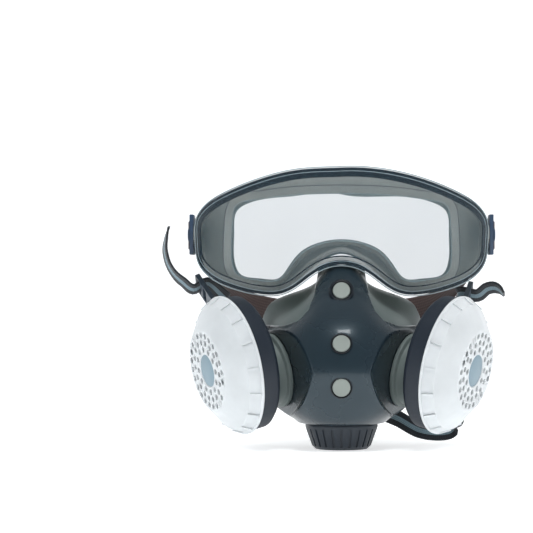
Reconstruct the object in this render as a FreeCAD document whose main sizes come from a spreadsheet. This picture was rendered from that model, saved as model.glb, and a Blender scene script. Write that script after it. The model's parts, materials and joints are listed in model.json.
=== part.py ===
"""A painter's half-mask respirator with clip-on goggles.

Frame: millimetres, +Z up, the wearer faces -Y, X runs across the face.
The origin is the middle of the flat foot of the exhale valve cover, on which the mask stands.
"""

import FreeCAD, Part
import math
import os

import Sketcher
from FreeCAD import Matrix, Placement, Rotation, Vector

doc = FreeCAD.newDocument("painters_respirator")

# ---------------------------------------------------------------- driving dimensions
SIZES = [
    ("clear_gap", 0.3, "gap left between pieces that only lie against each other"),
    ("face_wall", 2.5, "wall of the soft facepiece"),
    ("shell_wall", 2.4, "wall of the hard outer shell"),
    ("port_across", 38.5, "port centre from the middle plane"),
    ("port_back", 1.0, "port centre behind the valve axis"),
    ("port_height", 46.5, "port centre above the foot"),
    ("port_yaw", 63.0, "degrees a port looks away from straight ahead"),
    ("port_droop", 11.0, "degrees a port looks down"),
    ("port_radius", 20.0, "outside of the port connector"),
    ("port_wall", 3.0, "wall of the port connector"),
    ("filter_lift", 8.7, "filter axis above the port axis"),
    ("base_seat", 15.0, "port face to the back of the filter base"),
    ("base_radius", 40.0, "outside of the filter base"),
    ("base_depth", 11.6, "depth of the filter base's side wall"),
    ("cover_depth", 17.3, "filter base to the front of the cover"),
    ("cover_face", 24.5, "radius of the perforated face"),
    ("cover_wall", 1.5, "wall of the cover"),
    ("plug_radius", 9.5, "radius of the plug in the middle of the cover"),
    ("hole_radius", 1.8, "radius of a hole in the cover"),
    ("grip_count", 16, "grip ribs round the cover"),
    ("groove_count", 24, "grooves round the exhale valve cover"),
    ("flap_radius", 14.5, "radius of an inhale valve flap"),
    ("flap_thick", 0.8, "thickness of a valve flap"),
    ("stud_radius", 5.2, "radius of a locking stud's head"),
    ("foot_radius", 17.5, "radius of the exhale valve cover at its foot"),
    ("neck_radius", 21.5, "radius of the exhale valve cover at its top"),
    ("neck_height", 14.6, "height of the exhale valve cover"),
    ("lens_radius", 112.0, "radius of the lens's front face"),
    ("lens_thick", 2.0, "thickness of the lens"),
    ("frame_depth", 28.0, "lens face to the back of the goggle frame"),
    ("frame_rear_radius", 108.0, "radius of the goggle frame's back"),
    ("frame_wall", 2.2, "wall of the goggle frame"),
    ("seal_thick", 4.0, "thickness of the goggle seal"),
    ("strap_width", 10.0, "width of the mask's elastic straps"),
    ("band_width", 18.0, "width of the goggle headband"),
    ("strap_thick", 1.4, "thickness of the straps"),
    ("bracket_height", 25.0, "height of a goggle strap bracket"),
    ("buckle_length", 25.0, "length of a strap buckle's plate"),
    ("buckle_width", 14.0, "width of a strap buckle"),
    ("eye_radius", 2.8, "outside of the eye a buckle swings on"),
    ("pin_radius", 1.5, "radius of a buckle's pin"),
]

sheet = doc.addObject("Spreadsheet::Sheet", "Sizes")
for row, (alias, number, meaning) in enumerate(SIZES, start=1):
    sheet.set(f"A{row}", alias)
    sheet.set(f"B{row}", str(number))
    sheet.setAlias(f"B{row}", alias)
    sheet.set(f"C{row}", meaning)
doc.recompute()


class Size:
    """A length that knows its formula, so a sketch is drawn at its value and bound to the sheet."""

    def __init__(self, value, text):
        self.value = float(value)
        self.text = text

    def __add__(self, other):
        other = as_size(other)
        return Size(self.value + other.value, f"({self.text} + {other.text})")

    def __sub__(self, other):
        other = as_size(other)
        return Size(self.value - other.value, f"({self.text} - {other.text})")

    def __mul__(self, other):
        other = as_size(other)
        return Size(self.value * other.value, f"({self.text} * {other.text})")

    def __truediv__(self, other):
        other = as_size(other)
        return Size(self.value / other.value, f"({self.text} / {other.text})")

    def __neg__(self):
        return Size(-self.value, f"(0 - {self.text})")

    __radd__ = __add__
    __rmul__ = __mul__


def as_size(number):
    return number if isinstance(number, Size) else Size(number, f"{float(number)}")


S = {alias: Size(number, f"Sizes.{alias}") for alias, number, _ in SIZES}
N = {alias: number for alias, number, _ in SIZES}


# ---------------------------------------------------------------- helpers for bodies
def new_body(label, placement=None):
    body = doc.addObject("PartDesign::Body", label)
    body.Label = label
    body.Placement = placement or Placement()
    return body


def origin_plane(body, role):
    return [f for f in body.Origin.OriginFeatures if f.Role == role][0]


def new_sketch(body, name, role, height=0.0):
    sketch = body.newObject("Sketcher::SketchObject", name)
    sketch.AttachmentSupport = (origin_plane(body, role), [""])
    sketch.MapMode = "FlatFace"
    height = as_size(height)
    sketch.AttachmentOffset = Placement(Vector(0, 0, height.value), Rotation())
    sketch.setExpression(".AttachmentOffset.Base.z", height.text)
    return sketch


def bind_point(sketch, edge, point, number, x, y):
    """Holds one end of an edge at (x, y) with two driving constraints bound to the sheet."""
    for kind, size, tag in (("DistanceX", x, "x"), ("DistanceY", y, "y")):
        size = as_size(size)
        at = sketch.addConstraint(Sketcher.Constraint(kind, -1, 1, edge, point, size.value))
        sketch.renameConstraint(at, f"{tag}{number}")
        sketch.setExpression(f"Constraints.{tag}{number}", size.text)


def draw_polygon(sketch, corners):
    """A closed outline of straight edges through corners given as (x, y) sizes."""
    points = [(as_size(x), as_size(y)) for x, y in corners]
    first = sketch.GeometryCount
    count = len(points)
    for i, (x, y) in enumerate(points):
        to_x, to_y = points[(i + 1) % count]
        start, end = Vector(x.value, y.value, 0), Vector(to_x.value, to_y.value, 0)
        sketch.addGeometry(Part.LineSegment(start, end), False)
    for i in range(count):
        ends = (first + i, 2, first + (i + 1) % count, 1)
        sketch.addConstraint(Sketcher.Constraint("Coincident", *ends))
    for i, (x, y) in enumerate(points):
        bind_point(sketch, first + i, 1, first + i, x, y)


def draw_circle(sketch, x, y, radius):
    x, y, radius = as_size(x), as_size(y), as_size(radius)
    middle = Vector(x.value, y.value, 0)
    edge = sketch.addGeometry(Part.Circle(middle, Vector(0, 0, 1), radius.value), False)
    bind_point(sketch, edge, 3, edge, x, y)
    at = sketch.addConstraint(Sketcher.Constraint("Radius", edge, radius.value))
    sketch.renameConstraint(at, f"r{edge}")
    sketch.setExpression(f"Constraints.r{edge}", radius.text)


def draw_slot_box(sketch, low, high):
    """A rectangle from its low corner to its high corner."""
    (x0, y0), (x1, y1) = low, high
    draw_polygon(sketch, [(x0, y0), (x1, y0), (x1, y1), (x0, y1)])


def turned(label, corners, placement=None):
    """A body turned about its own Z axis from its half section, corners given as (radius, height)."""
    body = new_body(label, placement)
    sketch = new_sketch(body, label + "_section", "XZ_Plane")
    draw_polygon(sketch, corners)
    feature = body.newObject("PartDesign::Revolution", label + "_turn")
    feature.Profile = sketch
    feature.ReferenceAxis = (sketch, ["V_Axis"])
    feature.Angle = 360
    doc.recompute()
    return body


def padded(label, draw, height, thickness, placement=None, role="XY_Plane"):
    """A body padded from a sketch that draw() fills, from height up by thickness."""
    body = new_body(label, placement)
    sketch = new_sketch(body, label + "_outline", role, height)
    draw(sketch)
    feature = body.newObject("PartDesign::Pad", label + "_pad")
    feature.Profile = sketch
    feature.setExpression("Length", as_size(thickness).text)
    doc.recompute()
    return body


def add_pad(body, name, draw, height, thickness, role="XY_Plane"):
    sketch = new_sketch(body, name + "_outline", role, height)
    draw(sketch)
    feature = body.newObject("PartDesign::Pad", name)
    feature.Profile = sketch
    feature.setExpression("Length", as_size(thickness).text)
    doc.recompute()
    return feature


def cut_through(body, name, draw, role="XY_Plane", height=0.0):
    """Cuts a sketch's outline right through the body, both ways from its plane."""
    before = body.Shape.Volume
    sketch = new_sketch(body, name + "_outline", role, height)
    draw(sketch)
    feature = body.newObject("PartDesign::Pocket", name)
    feature.Profile = sketch
    feature.Type = "ThroughAll"
    feature.Midplane = True
    doc.recompute()
    if body.Shape.Volume >= before:
        raise RuntimeError(f"{name} cut nothing")
    return feature


def cut_depth(body, name, draw, height, depth, role="XY_Plane"):
    """Cuts a sketch's outline from height upwards by depth."""
    before = body.Shape.Volume
    sketch = new_sketch(body, name + "_outline", role, height)
    draw(sketch)
    feature = body.newObject("PartDesign::Pocket", name)
    feature.Profile = sketch
    feature.setExpression("Length", as_size(depth).text)
    feature.Reversed = True
    doc.recompute()
    if body.Shape.Volume >= before:
        raise RuntimeError(f"{name} cut nothing")
    return feature


def add_rib(body, name, corners, thickness, cut=False):
    """A rib, or a groove, through the XZ plane, its outline given as (radius, height) corners."""
    before = body.Shape.Volume
    sketch = new_sketch(body, name + "_outline", "XZ_Plane")
    draw_polygon(sketch, corners)
    feature = body.newObject("PartDesign::Pocket" if cut else "PartDesign::Pad", name)
    feature.Profile = sketch
    feature.Midplane = True
    feature.setExpression("Length", as_size(thickness).text)
    doc.recompute()
    if (body.Shape.Volume < before) != cut:
        raise RuntimeError(f"{name} changed nothing")
    return feature


def repeat_round(body, feature, count, axis="N_Axis"):
    """Repeats a feature round the body's Z axis. count is a number or a sheet alias."""
    pattern = body.newObject("PartDesign::PolarPattern", feature.Name + "_round")
    pattern.Originals = [feature]
    pattern.Axis = (feature.Profile[0], [axis])
    pattern.Angle = 360
    pattern.Occurrences = int(as_size(count).value)
    if isinstance(count, Size):
        pattern.setExpression("Occurrences", count.text)
    body.Tip = pattern
    doc.recompute()
    return pattern


def freeform(label, shape):
    """A piece whose curved shape no sketch feature gives."""
    piece = doc.addObject("Part::Feature", label)
    piece.Label = label
    piece.Shape = shape
    return piece


# ---------------------------------------------------------------- the port and filter frames
def port_axes(side):
    """Across, up and outward directions of a port. side is 1 at +X and -1 at -X."""
    yaw, droop = math.radians(N["port_yaw"]), math.radians(N["port_droop"])
    outward = Vector(
        side * math.sin(yaw) * math.cos(droop), -math.cos(yaw) * math.cos(droop), -math.sin(droop)
    )
    up = Vector(
        side * math.sin(yaw) * math.sin(droop), -math.cos(yaw) * math.sin(droop), math.cos(droop)
    )
    return up.cross(outward), up, outward


def axes_placement(origin, across, up, outward):
    m = Matrix(
        across.x, up.x, outward.x, origin.x,
        across.y, up.y, outward.y, origin.y,
        across.z, up.z, outward.z, origin.z,
        0, 0, 0, 1,
    )  # fmt: skip
    return Placement(m)


def port_middle(side):
    return Vector(side * N["port_across"], N["port_back"], N["port_height"])


def port_frame(side):
    """Z runs out along the port, from the shell's recess floor."""
    return axes_placement(port_middle(side), *port_axes(side))


def filter_frame(side):
    """As the port frame, but on the filter's own axis, which sits above the port's."""
    across, up, outward = port_axes(side)
    return axes_placement(port_middle(side) + up * N["filter_lift"], across, up, outward)


SIDES = (("left", -1), ("right", 1))


# ---------------------------------------------------------------- facepiece and outer shell
# Level sections of the facepiece's outside, from the chin up to the nose: height, then how far
# forward its middle stands, the half width of the flat front panel, the flank's widest bulge as
# (across, back), and the rear edge as (across, back).
MASK_LEVELS = [
    (16.8, -24.0, 9.5, (22.0, -6.0), (24.0, 31.0)),
    (22.0, -33.0, 14.0, (31.0, -8.0), (35.0, 38.0)),
    (34.0, -39.5, 17.0, (41.0, -8.0), (47.0, 42.0)),
    (50.0, -41.5, 17.0, (45.0, -6.0), (52.0, 44.0)),
    (66.0, -36.5, 16.0, (42.0, -4.0), (52.0, 44.0)),
    (79.0, -27.0, 14.0, (31.0, 4.0), (48.0, 42.0)),
    (88.0, -17.5, 12.0, (22.0, 10.0), (41.0, 38.0)),
    (96.0, -8.0, 9.5, (15.0, 10.0), (20.0, 32.0)),
    (103.0, 0.5, 7.0, (10.0, 12.0), (12.5, 27.0)),
    (109.0, 6.5, 5.0, (7.0, 14.0), (8.5, 23.0)),
]


def level_wire(level, grow, rear_shift):
    """One level section: a smooth front through nine points and a straight rear edge."""
    height, front, panel, flank, rear = level
    half = [
        (0.0, front),
        (panel, front + 2.2),
        flank,
        ((flank[0] + rear[0]) / 2 + 1.0, (flank[1] + rear[1]) / 2),
        rear,
    ]
    grown = []
    for i, (x, y) in enumerate(half):
        before = half[max(i - 1, 0)] if i else (-half[1][0], half[1][1])
        after = half[min(i + 1, len(half) - 1)]
        along = Vector(after[0] - before[0], after[1] - before[1], 0).normalize()
        outward = Vector(along.y, -along.x, 0)
        if i == len(half) - 1:
            outward = Vector(1, 0, 0)
        moved = Vector(x, y, 0) + outward * grow
        if i == 0:
            moved.x = 0.0
        if i == len(half) - 1:
            moved.y = y + rear_shift
        grown.append(Vector(moved.x, moved.y, height))
    mirrored = [Vector(-p.x, p.y, p.z) for p in reversed(grown[1:])]
    curve = Part.BSplineCurve()
    curve.interpolate(mirrored + grown)
    edge = curve.toShape()
    back = Part.LineSegment(grown[-1], mirrored[0]).toShape()
    return Part.Wire([edge, back])


def mask_block(grow, rear_shift=0.0, floor_drop=0.0, top_rise=0.0):
    """The mask's solid outside, grown outwards everywhere by grow."""
    wires = []
    for i, level in enumerate(MASK_LEVELS):
        height = level[0]
        if i == 0:
            height -= floor_drop
        if i == len(MASK_LEVELS) - 1:
            height += top_rise
        wires.append(level_wire((height, *level[1:]), grow, rear_shift))
    block = Part.makeLoft(wires, True, False)
    for _, side in SIDES:
        block = block.cut(port_recess(side, grow))
    return block


RECESS_MIDDLE = Vector(45.3, 0, 54.0)
RECESS_HIGH, RECESS_WIDE = 43.0, 31.5


def port_recess(side, grow):
    """The hollow that clears one filter: an ellipse seen from the front, down to the port's plane."""
    shell_floor = N["shell_wall"] + N["clear_gap"]
    ellipse = Part.Ellipse(Vector(0, 0, 0), RECESS_HIGH - grow, RECESS_WIDE - grow)
    face = Part.Face(Part.Wire(ellipse.toShape()))
    face.rotate(Vector(), Vector(0, 0, 1), 90)
    face.rotate(Vector(), Vector(1, 0, 0), 90)
    face.translate(Vector(side * RECESS_MIDDLE.x, 60, RECESS_MIDDLE.z))
    prism = face.extrude(Vector(0, -130, 0))
    beyond = Part.makeBox(200, 200, 100, Vector(-100, -100, grow - shell_floor))
    beyond.Placement = port_frame(side)
    return prism.common(beyond)


def bore(side, radius):
    """A long cylinder along one port's axis."""
    drill = Part.makeCylinder(radius, 60, Vector(0, 0, -30))
    drill.Placement = port_frame(side)
    return drill


def front_prism(half_outline):
    """A prism along Y from the right half of an outline seen from the front."""
    points = [Vector(x, -90, z) for x, z in half_outline]
    points += [Vector(-p.x, p.y, p.z) for p in reversed(points)]
    points.append(points[0])
    return Part.Face(Part.makePolygon(points)).extrude(Vector(0, 180, 0))


SHELL_OUTLINE = [
    (13.0, 112.0),
    (15.0, 100.0),
    (16.5, 90.0),
    (19.5, 82.0),
    (25.0, 76.0),
    (33.0, 73.3),
    (70.0, 72.0),
    (70.0, 8.0),
]
SHELL_REAR = 30.0
SHELL_FLOOR = 1.6
NECK_BORE = 16.0


def make_facepiece():
    outside = mask_block(0.0)
    hollow = mask_block(-N["face_wall"], rear_shift=-3.0, floor_drop=-N["face_wall"])
    mouth = mask_block(-8.0, rear_shift=6.0, floor_drop=-6.0)
    behind = Part.makeBox(200, 60, 200, Vector(-100, 24, 0))
    cup = outside.cut(hollow).cut(mouth.common(behind))
    for _, side in SIDES:
        cup = cup.cut(bore(side, N["port_radius"] + N["clear_gap"]))
    cup = cup.cut(Part.makeCylinder(NECK_BORE, 20, Vector(0, 0, 8)))
    return cup


def make_shell():
    inside = mask_block(N["clear_gap"], rear_shift=6.0, floor_drop=N["clear_gap"])
    outside = mask_block(N["clear_gap"] + N["shell_wall"], floor_drop=SHELL_FLOOR)
    lining = mask_block(0.02, rear_shift=6.0)
    shell = outside.cut(inside).cut(lining).common(front_prism(SHELL_OUTLINE))
    ahead = Part.makeBox(200, 100 + SHELL_REAR, 200, Vector(-100, -100, 0))
    shell = shell.common(ahead)
    for _, side in SIDES:
        shell = shell.cut(bore(side, N["port_radius"] + N["clear_gap"]))
    for place in STUD_PLACES:
        shell = shell.cut(stud_shape(place, 0.02))
    return shell.cut(Part.makeCylinder(NECK_BORE, 20, Vector(0, 0, 8)))


# Locking studs: height, front face, and how far the face leans back, in degrees.
STUD_PLACES = [(92.6, -15.9, 49.0), (63.1, -40.8, 24.0), (38.1, -43.9, 4.0)]


def stud_shape(place, grow):
    """A stud: a round head in the shell, pointing out along the shell's slope."""
    height, front, lean = place
    head = Part.makeCylinder(N["stud_radius"] + grow, 4.4 + 2 * grow, Vector(0, 0, -3.4 - grow))
    head.Placement = Placement(Vector(0, front, height), Rotation(Vector(1, 0, 0), 90 - lean))
    return head


facepiece_shape = make_facepiece()
shell_shape = make_shell()
studs = [stud_shape(place, 0.0).cut(mask_block(0.1)) for place in STUD_PLACES]
facepiece = freeform("facepiece", facepiece_shape)
outer_shell = freeform("outer_shell", shell_shape)
locking_studs = freeform("locking_studs", Part.makeCompound([s.Solids[0] for s in studs]))


# ---------------------------------------------------------------- exhale valve, on the Z axis
def make_exhale_valve():
    neck, foot, high = S["neck_radius"], S["foot_radius"], S["neck_height"]
    disc = high - 1.2
    seat = turned(
        "exhale_valve_seat",
        [
            (0, disc + 1.5),
            (0, disc),
            (neck - 2.7, disc),
            (neck - 2.7, high + 0.55),
            (NECK_BORE - 0.05, high + 0.55),
            (NECK_BORE - 0.05, high + 6.0),
            (NECK_BORE - 2.0, high + 6.0),
            (NECK_BORE - 2.0, disc + 1.5),
        ],
    )
    window = cut_through(seat, "exhale_window", lambda k: draw_circle(k, 8.2, 0, 3.6))
    repeat_round(seat, window, 6)
    add_pad(seat, "exhale_pin", lambda k: draw_circle(k, 0, 0, 1.5), disc - 3.4, 3.8)
    add_pad(seat, "exhale_pin_head", lambda k: draw_circle(k, 0, 0, 2.4), disc - 4.2, 1.0)

    flap_top = disc - 0.1
    flap = turned(
        "exhale_valve_flap",
        [
            (1.7, flap_top),
            (1.7, flap_top - S["flap_thick"]),
            (NECK_BORE - 3.0, flap_top - S["flap_thick"]),
            (NECK_BORE - 3.0, flap_top),
        ],
    )
    cover = turned(
        "exhale_valve_cover",
        [
            (0, 0),
            (foot - 2.0, 0),
            (foot, 2.0),
            (neck, high - 1.6),
            (neck, high),
            (neck - 2.4, high),
            (neck - 2.4, high - 1.6),
            (foot - 2.2, 3.0),
            (foot - 3.2, 2.0),
            (0, 2.0),
        ],
    )
    groove = add_rib(
        cover,
        "cover_groove",
        [(foot - 0.8, 1.8), (neck - 0.8, high - 2.4), (neck + 2, high - 2.4), (neck + 2, 1.8)],
        1.3,
        cut=True,
    )
    repeat_round(cover, groove, S["groove_count"], axis="V_Axis")
    outlets = new_sketch(cover, "outlets_outline", "XZ_Plane")
    for left in (-11.5, -2.5, 6.5):
        draw_slot_box(outlets, (left, 5.0), (left + 5.0, 9.0))
    slots = cover.newObject("PartDesign::Pocket", "outlets")
    slots.Profile = outlets
    slots.Type = "ThroughAll"
    doc.recompute()
    return seat, flap, cover


exhale_seat, exhale_flap, exhale_cover = make_exhale_valve()


# ---------------------------------------------------------------- ports and filters
def make_port(name, side):
    """The connector through the shell, its seal ring and the inhale flap behind its spider."""
    outer, bead = S["port_radius"], S["port_radius"] + 2.2
    inner = outer - S["port_wall"]
    stack = S["face_wall"] + S["shell_wall"] + S["clear_gap"] * 2
    seat = S["base_seat"]
    connector = turned(
        f"{name}_port_connector",
        [
            (0, -stack - 2.0),
            (bead, -stack - 2.0),
            (bead, -stack),
            (outer, -stack),
            (outer, S["clear_gap"]),
            (bead, S["clear_gap"]),
            (bead, 2.6),
            (outer, 3.4),
            (outer, seat - 4.0),
            (bead, seat - 3.4),
            (bead, seat - 1.8),
            (outer, seat - 1.8),
            (outer, seat + 3.8),
            (inner, seat + 3.8),
            (inner, -stack - 0.4),
            (0, -stack - 0.4),
        ],
        port_frame(side),
    )
    window = cut_through(connector, f"{name}_window", lambda k: draw_circle(k, 9.2, 0, 3.9))
    repeat_round(connector, window, 6)
    pin_top = -stack - 2.0
    add_pad(
        connector, f"{name}_pin", lambda k: draw_circle(k, 0, 0, 1.5), pin_top - 4.0, 4.6
    )
    add_pad(
        connector, f"{name}_pin_head", lambda k: draw_circle(k, 0, 0, 2.4), pin_top - 5.0, 1.0
    )
    flap = turned(
        f"{name}_inhale_flap",
        [
            (1.7, pin_top - 0.2),
            (1.7, pin_top - 0.2 - S["flap_thick"]),
            (S["flap_radius"], pin_top - 0.2 - S["flap_thick"]),
            (S["flap_radius"], pin_top - 0.2),
        ],
        port_frame(side),
    )
    seal = turned(
        f"{name}_port_seal",
        [(outer + 0.1, seat - 1.8), (bead, seat - 1.8), (bead, seat), (outer + 0.1, seat)],
        port_frame(side),
    )
    return connector, flap, seal


def make_filter(name, side):
    """The base that pushes on to the port, the two filter layers on their grid, and the cover."""
    frame = filter_frame(side)
    back = S["base_seat"] + 0.05
    radius = S["base_radius"]
    rim = back + S["base_depth"]
    base = turned(
        f"{name}_filter_base",
        [
            (0, back),
            (radius - 3.0, back),
            (radius - 0.5, back + 2.5),
            (radius, rim),
            (radius - 1.6, rim),
            (radius - 1.6, rim + 1.7),
            (radius - 2.6, rim + 1.7),
            (radius - 2.6, back + 4.6),
            (radius - 5.0, back + 4.6),
            (radius - 5.0, back + 2.0),
            (0, back + 2.0),
        ],
        frame,
    )
    drop = -S["filter_lift"]
    socket = S["port_radius"] + 0.05
    cut_through(base, f"{name}_socket", lambda k: draw_circle(k, 0, drop, socket))

    grid = turned(
        f"{name}_filter_grid",
        [(0, back + 4.65), (radius - 2.8, back + 4.65), (radius - 2.8, back + 6.4), (0, back + 6.4)],
        frame,
    )
    for ring, (place, count) in enumerate(((9.0, 6), (18.0, 12), (27.0, 18))):
        hole = cut_through(
            grid, f"{name}_grid_hole_{ring}", lambda k, at=place: draw_circle(k, at, 0, 3.4)
        )
        repeat_round(grid, hole, count)

    carbon = turned(
        f"{name}_carbon_pad",
        [
            (0, back + 6.5),
            (radius - 3.0, back + 6.5),
            (radius - 3.0, back + 9.5),
            (0, back + 9.5),
        ],
        frame,
    )
    cotton = turned(
        f"{name}_cotton_pad",
        [
            (0, back + 9.6),
            (radius - 3.0, back + 9.6),
            (radius - 4.0, rim + 4.4),
            (0, rim + 4.4),
        ],
        frame,
    )

    wall, face, front = S["cover_wall"], S["cover_face"], rim + S["cover_depth"]
    cover = turned(
        f"{name}_filter_cover",
        [
            (0, front),
            (face, front),
            (radius - 2.7, rim + 8.1),
            (radius + 0.5, rim + 1.7),
            (radius + 1.3, rim + 1.7),
            (radius + 1.3, rim + 0.3),
            (radius - 1.4, rim + 0.3),
            (radius - 1.4, rim + 2.0),
            (radius - 4.4, rim + 7.4),
            (face - 0.6, front - wall),
            (0, front - wall),
        ],
        frame,
    )
    grip = add_rib(
        cover,
        f"{name}_grip",
        [
            (radius - 2.0, rim + 1.8),
            (radius + 1.2, rim + 1.8),
            (radius - 2.0, rim + 8.0),
            (radius - 3.4, rim + 8.0),
        ],
        1.5,
    )
    repeat_round(cover, grip, S["grip_count"], axis="V_Axis")
    for ring, (place, count) in enumerate(((12.6, 12), (16.9, 18), (21.2, 24))):
        hole = cut_depth(
            cover,
            f"{name}_cover_hole_{ring}",
            lambda k, at=place: draw_circle(k, at, 0, S["hole_radius"]),
            front - 4.0,
            6.0,
        )
        repeat_round(cover, hole, count)
    cut_depth(
        cover,
        f"{name}_plug_hole",
        lambda k: draw_circle(k, 0, 0, S["plug_radius"]),
        front - 4.0,
        6.0,
    )
    plug = turned(
        f"{name}_cover_plug",
        [
            (0, front - 0.4),
            (S["plug_radius"], front - 0.4),
            (S["plug_radius"], front - 1.7),
            (S["plug_radius"] + 0.9, front - 1.7),
            (S["plug_radius"] + 0.9, front - 2.7),
            (0, front - 2.7),
        ],
        frame,
    )
    return base, grid, carbon, cotton, cover, plug


ports = {name: make_port(name, side) for name, side in SIDES}
filters = {name: make_filter(name, side) for name, side in SIDES}


# ---------------------------------------------------------------- goggles
# Right half of the goggles' front outline, from the top middle round to the nose arch.
GOGGLE_OUTLINE = [
    (0.0, 167.4),
    (25.0, 166.3),
    (49.5, 161.2),
    (71.5, 153.4),
    (84.3, 146.2),
    (90.3, 138.5),
    (91.2, 125.0),
    (89.0, 110.6),
    (82.0, 102.2),
    (66.0, 94.6),
    (48.0, 90.6),
    (37.0, 90.8),
    (28.0, 94.6),
    (18.7, 101.4),
    (9.0, 106.8),
    (0.0, 108.3),
]
# The wall behind the rim follows it, but its arch is raised to stand clear of the mask's nose.
ARCH_TOP, ARCH_RISE, ARCH_HALF = 110.0, 6.2, 44.0
WINDOW_OUTLINE = [
    (0.0, 153.7),
    (30.9, 152.7),
    (58.0, 149.0),
    (66.0, 144.0),
    (68.2, 130.0),
    (68.0, 112.0),
    (64.0, 103.0),
    (50.0, 99.6),
    (38.0, 99.8),
    (31.5, 107.0),
    (23.5, 116.5),
    (12.0, 121.8),
    (0.0, 123.4),
]
PRISM_BACK = 130.0
NOSE_CLEARANCE = 0.08


def moved_outline(half, inset):
    """The half outline moved inwards by inset along its own normals."""
    moved = []
    for i, (x, z) in enumerate(half):
        before = half[i - 1] if i else (-half[1][0], half[1][1])
        after = half[i + 1] if i + 1 < len(half) else (-half[-2][0], half[-2][1])
        along = Vector(after[0] - before[0], after[1] - before[1], 0).normalize()
        inward = Vector(along.y, -along.x, 0)
        spot = Vector(x, z, 0) + inward * inset
        moved.append((0.0 if x == 0.0 else spot.x, spot.y))
    return moved


def arch_rise(x, z):
    return max(0.0, ARCH_RISE * (1 - x / ARCH_HALF)) if z < ARCH_TOP else 0.0


def outline_prism(half):
    """A prism along Y from a smooth closed outline given by its right half."""
    right = [Vector(x, -10, z) for x, z in half]
    left = [Vector(-p.x, p.y, p.z) for p in reversed(right[1:-1])]
    curve = Part.BSplineCurve()
    curve.interpolate(Points=right + left, PeriodicFlag=True)
    return Part.Face(Part.Wire(curve.toShape())).extrude(Vector(0, PRISM_BACK, 0))


def upright_round(radius, front):
    """An upright cylinder whose foremost line is at front."""
    return Part.makeCylinder(radius, 120, Vector(0, front + radius, 70))


def make_goggles():
    lens_radius, thick = N["lens_radius"], N["lens_thick"]
    wall, depth = N["frame_wall"], N["frame_depth"]
    body_half = [(x, z + arch_rise(x, z)) for x, z in GOGGLE_OUTLINE]
    lens_front = upright_round(lens_radius, 0)
    lens_back = Part.makeCylinder(lens_radius - thick, 120, Vector(0, lens_radius, 70))
    rim_front = Part.makeCylinder(lens_radius - thick - 0.02, 120, Vector(0, lens_radius, 70))
    rim_back = upright_round(lens_radius - 2, 5.6)
    body_front = upright_round(lens_radius - 2, 5.0)
    rear = upright_round(N["frame_rear_radius"], depth)
    flange = upright_round(N["frame_rear_radius"], depth - 2.4)
    seal_front = upright_round(N["frame_rear_radius"], depth + 0.02)
    seal_rear = upright_round(N["frame_rear_radius"], depth + N["seal_thick"])

    limit = Part.makeBox(240, 82 + 20, 120, Vector(-120, -20, 70))
    lens = outline_prism(GOGGLE_OUTLINE).common(lens_front).cut(lens_back).common(limit)

    rim_out = outline_prism(moved_outline(GOGGLE_OUTLINE, 1.0))
    rim_in = outline_prism(moved_outline(GOGGLE_OUTLINE, 5.2))
    rim = rim_out.cut(rim_in).common(rim_front).cut(rim_back)
    wall_out = outline_prism(moved_outline(body_half, 2.4))
    wall_in = outline_prism(moved_outline(body_half, 2.4 + wall))
    walls = wall_out.cut(wall_in).common(body_front).cut(rear)
    window = outline_prism(WINDOW_OUTLINE)
    back = wall_out.cut(window).common(flange).cut(rear)
    frame = rim.fuse([walls, back]).common(limit)
    for _, side in SIDES:
        boss = Part.makeCylinder(6.0, 5.0, Vector(0, 0, -5.3))
        hole = Part.makeCylinder(2.5, 5.0, Vector(0, 0, -4.4))
        boss.Placement = hole.Placement = bracket_frame(side)
        frame = frame.fuse(boss).cut(hole)
    nose = mask_block(N["clear_gap"] + N["shell_wall"] + NOSE_CLEARANCE, floor_drop=SHELL_FLOOR)
    frame = frame.cut(nose).removeSplitter()

    seal_out = outline_prism(moved_outline(body_half, 1.4))
    seal_in = outline_prism(moved_outline(WINDOW_OUTLINE, 1.5))
    seal = seal_out.cut(seal_in).common(seal_front).cut(seal_rear)
    return lens, frame, seal.common(Part.makeBox(240, 110, 120, Vector(-120, -20, 70)))


BRACKET_MIDDLE = Vector(92.2, 58.0, 128.5)


def bracket_frame(side):
    """Z runs outwards along the bracket's pin, and X runs down or up the bracket."""
    turn = Rotation(Vector(0, 1, 0), side * 90)
    spot = Vector(side * BRACKET_MIDDLE.x, BRACKET_MIDDLE.y, BRACKET_MIDDLE.z)
    return Placement(spot, turn)


lens_shape, frame_shape, seal_shape = make_goggles()
goggle_lens = freeform("goggle_lens", lens_shape)
goggle_frame = freeform("goggle_frame", frame_shape)
goggle_seal = freeform("goggle_seal", seal_shape)

def make_bracket(name, side):
    """A strap bracket that turns on its pin at the goggles' side."""
    spot = bracket_frame(side)
    half = S["bracket_height"] / 2
    bracket = padded(
        f"{name}_strap_bracket",
        lambda k: draw_polygon(
            k, [(-half, -5), (half, -5), (half, 9), (half - 3.0, 16), (-half + 3.0, 16), (-half, 9)]
        ),
        0.0,
        2.4,
        spot,
    )
    cut_through(
        bracket, f"{name}_band_slot", lambda k: draw_slot_box(k, (-9.6, 9.5), (9.6, 12.6))
    )
    cut_through(bracket, f"{name}_pin_hole", lambda k: draw_circle(k, 0, 0, 2.55))
    pin = turned(
        f"{name}_bracket_pin",
        [(0, -4.4), (2.5, -4.4), (2.5, 2.6), (4.0, 2.6), (4.0, 3.6), (0, 3.6)],
        spot,
    )
    return bracket, pin


brackets = {name: make_bracket(name, side) for name, side in SIDES}


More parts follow.
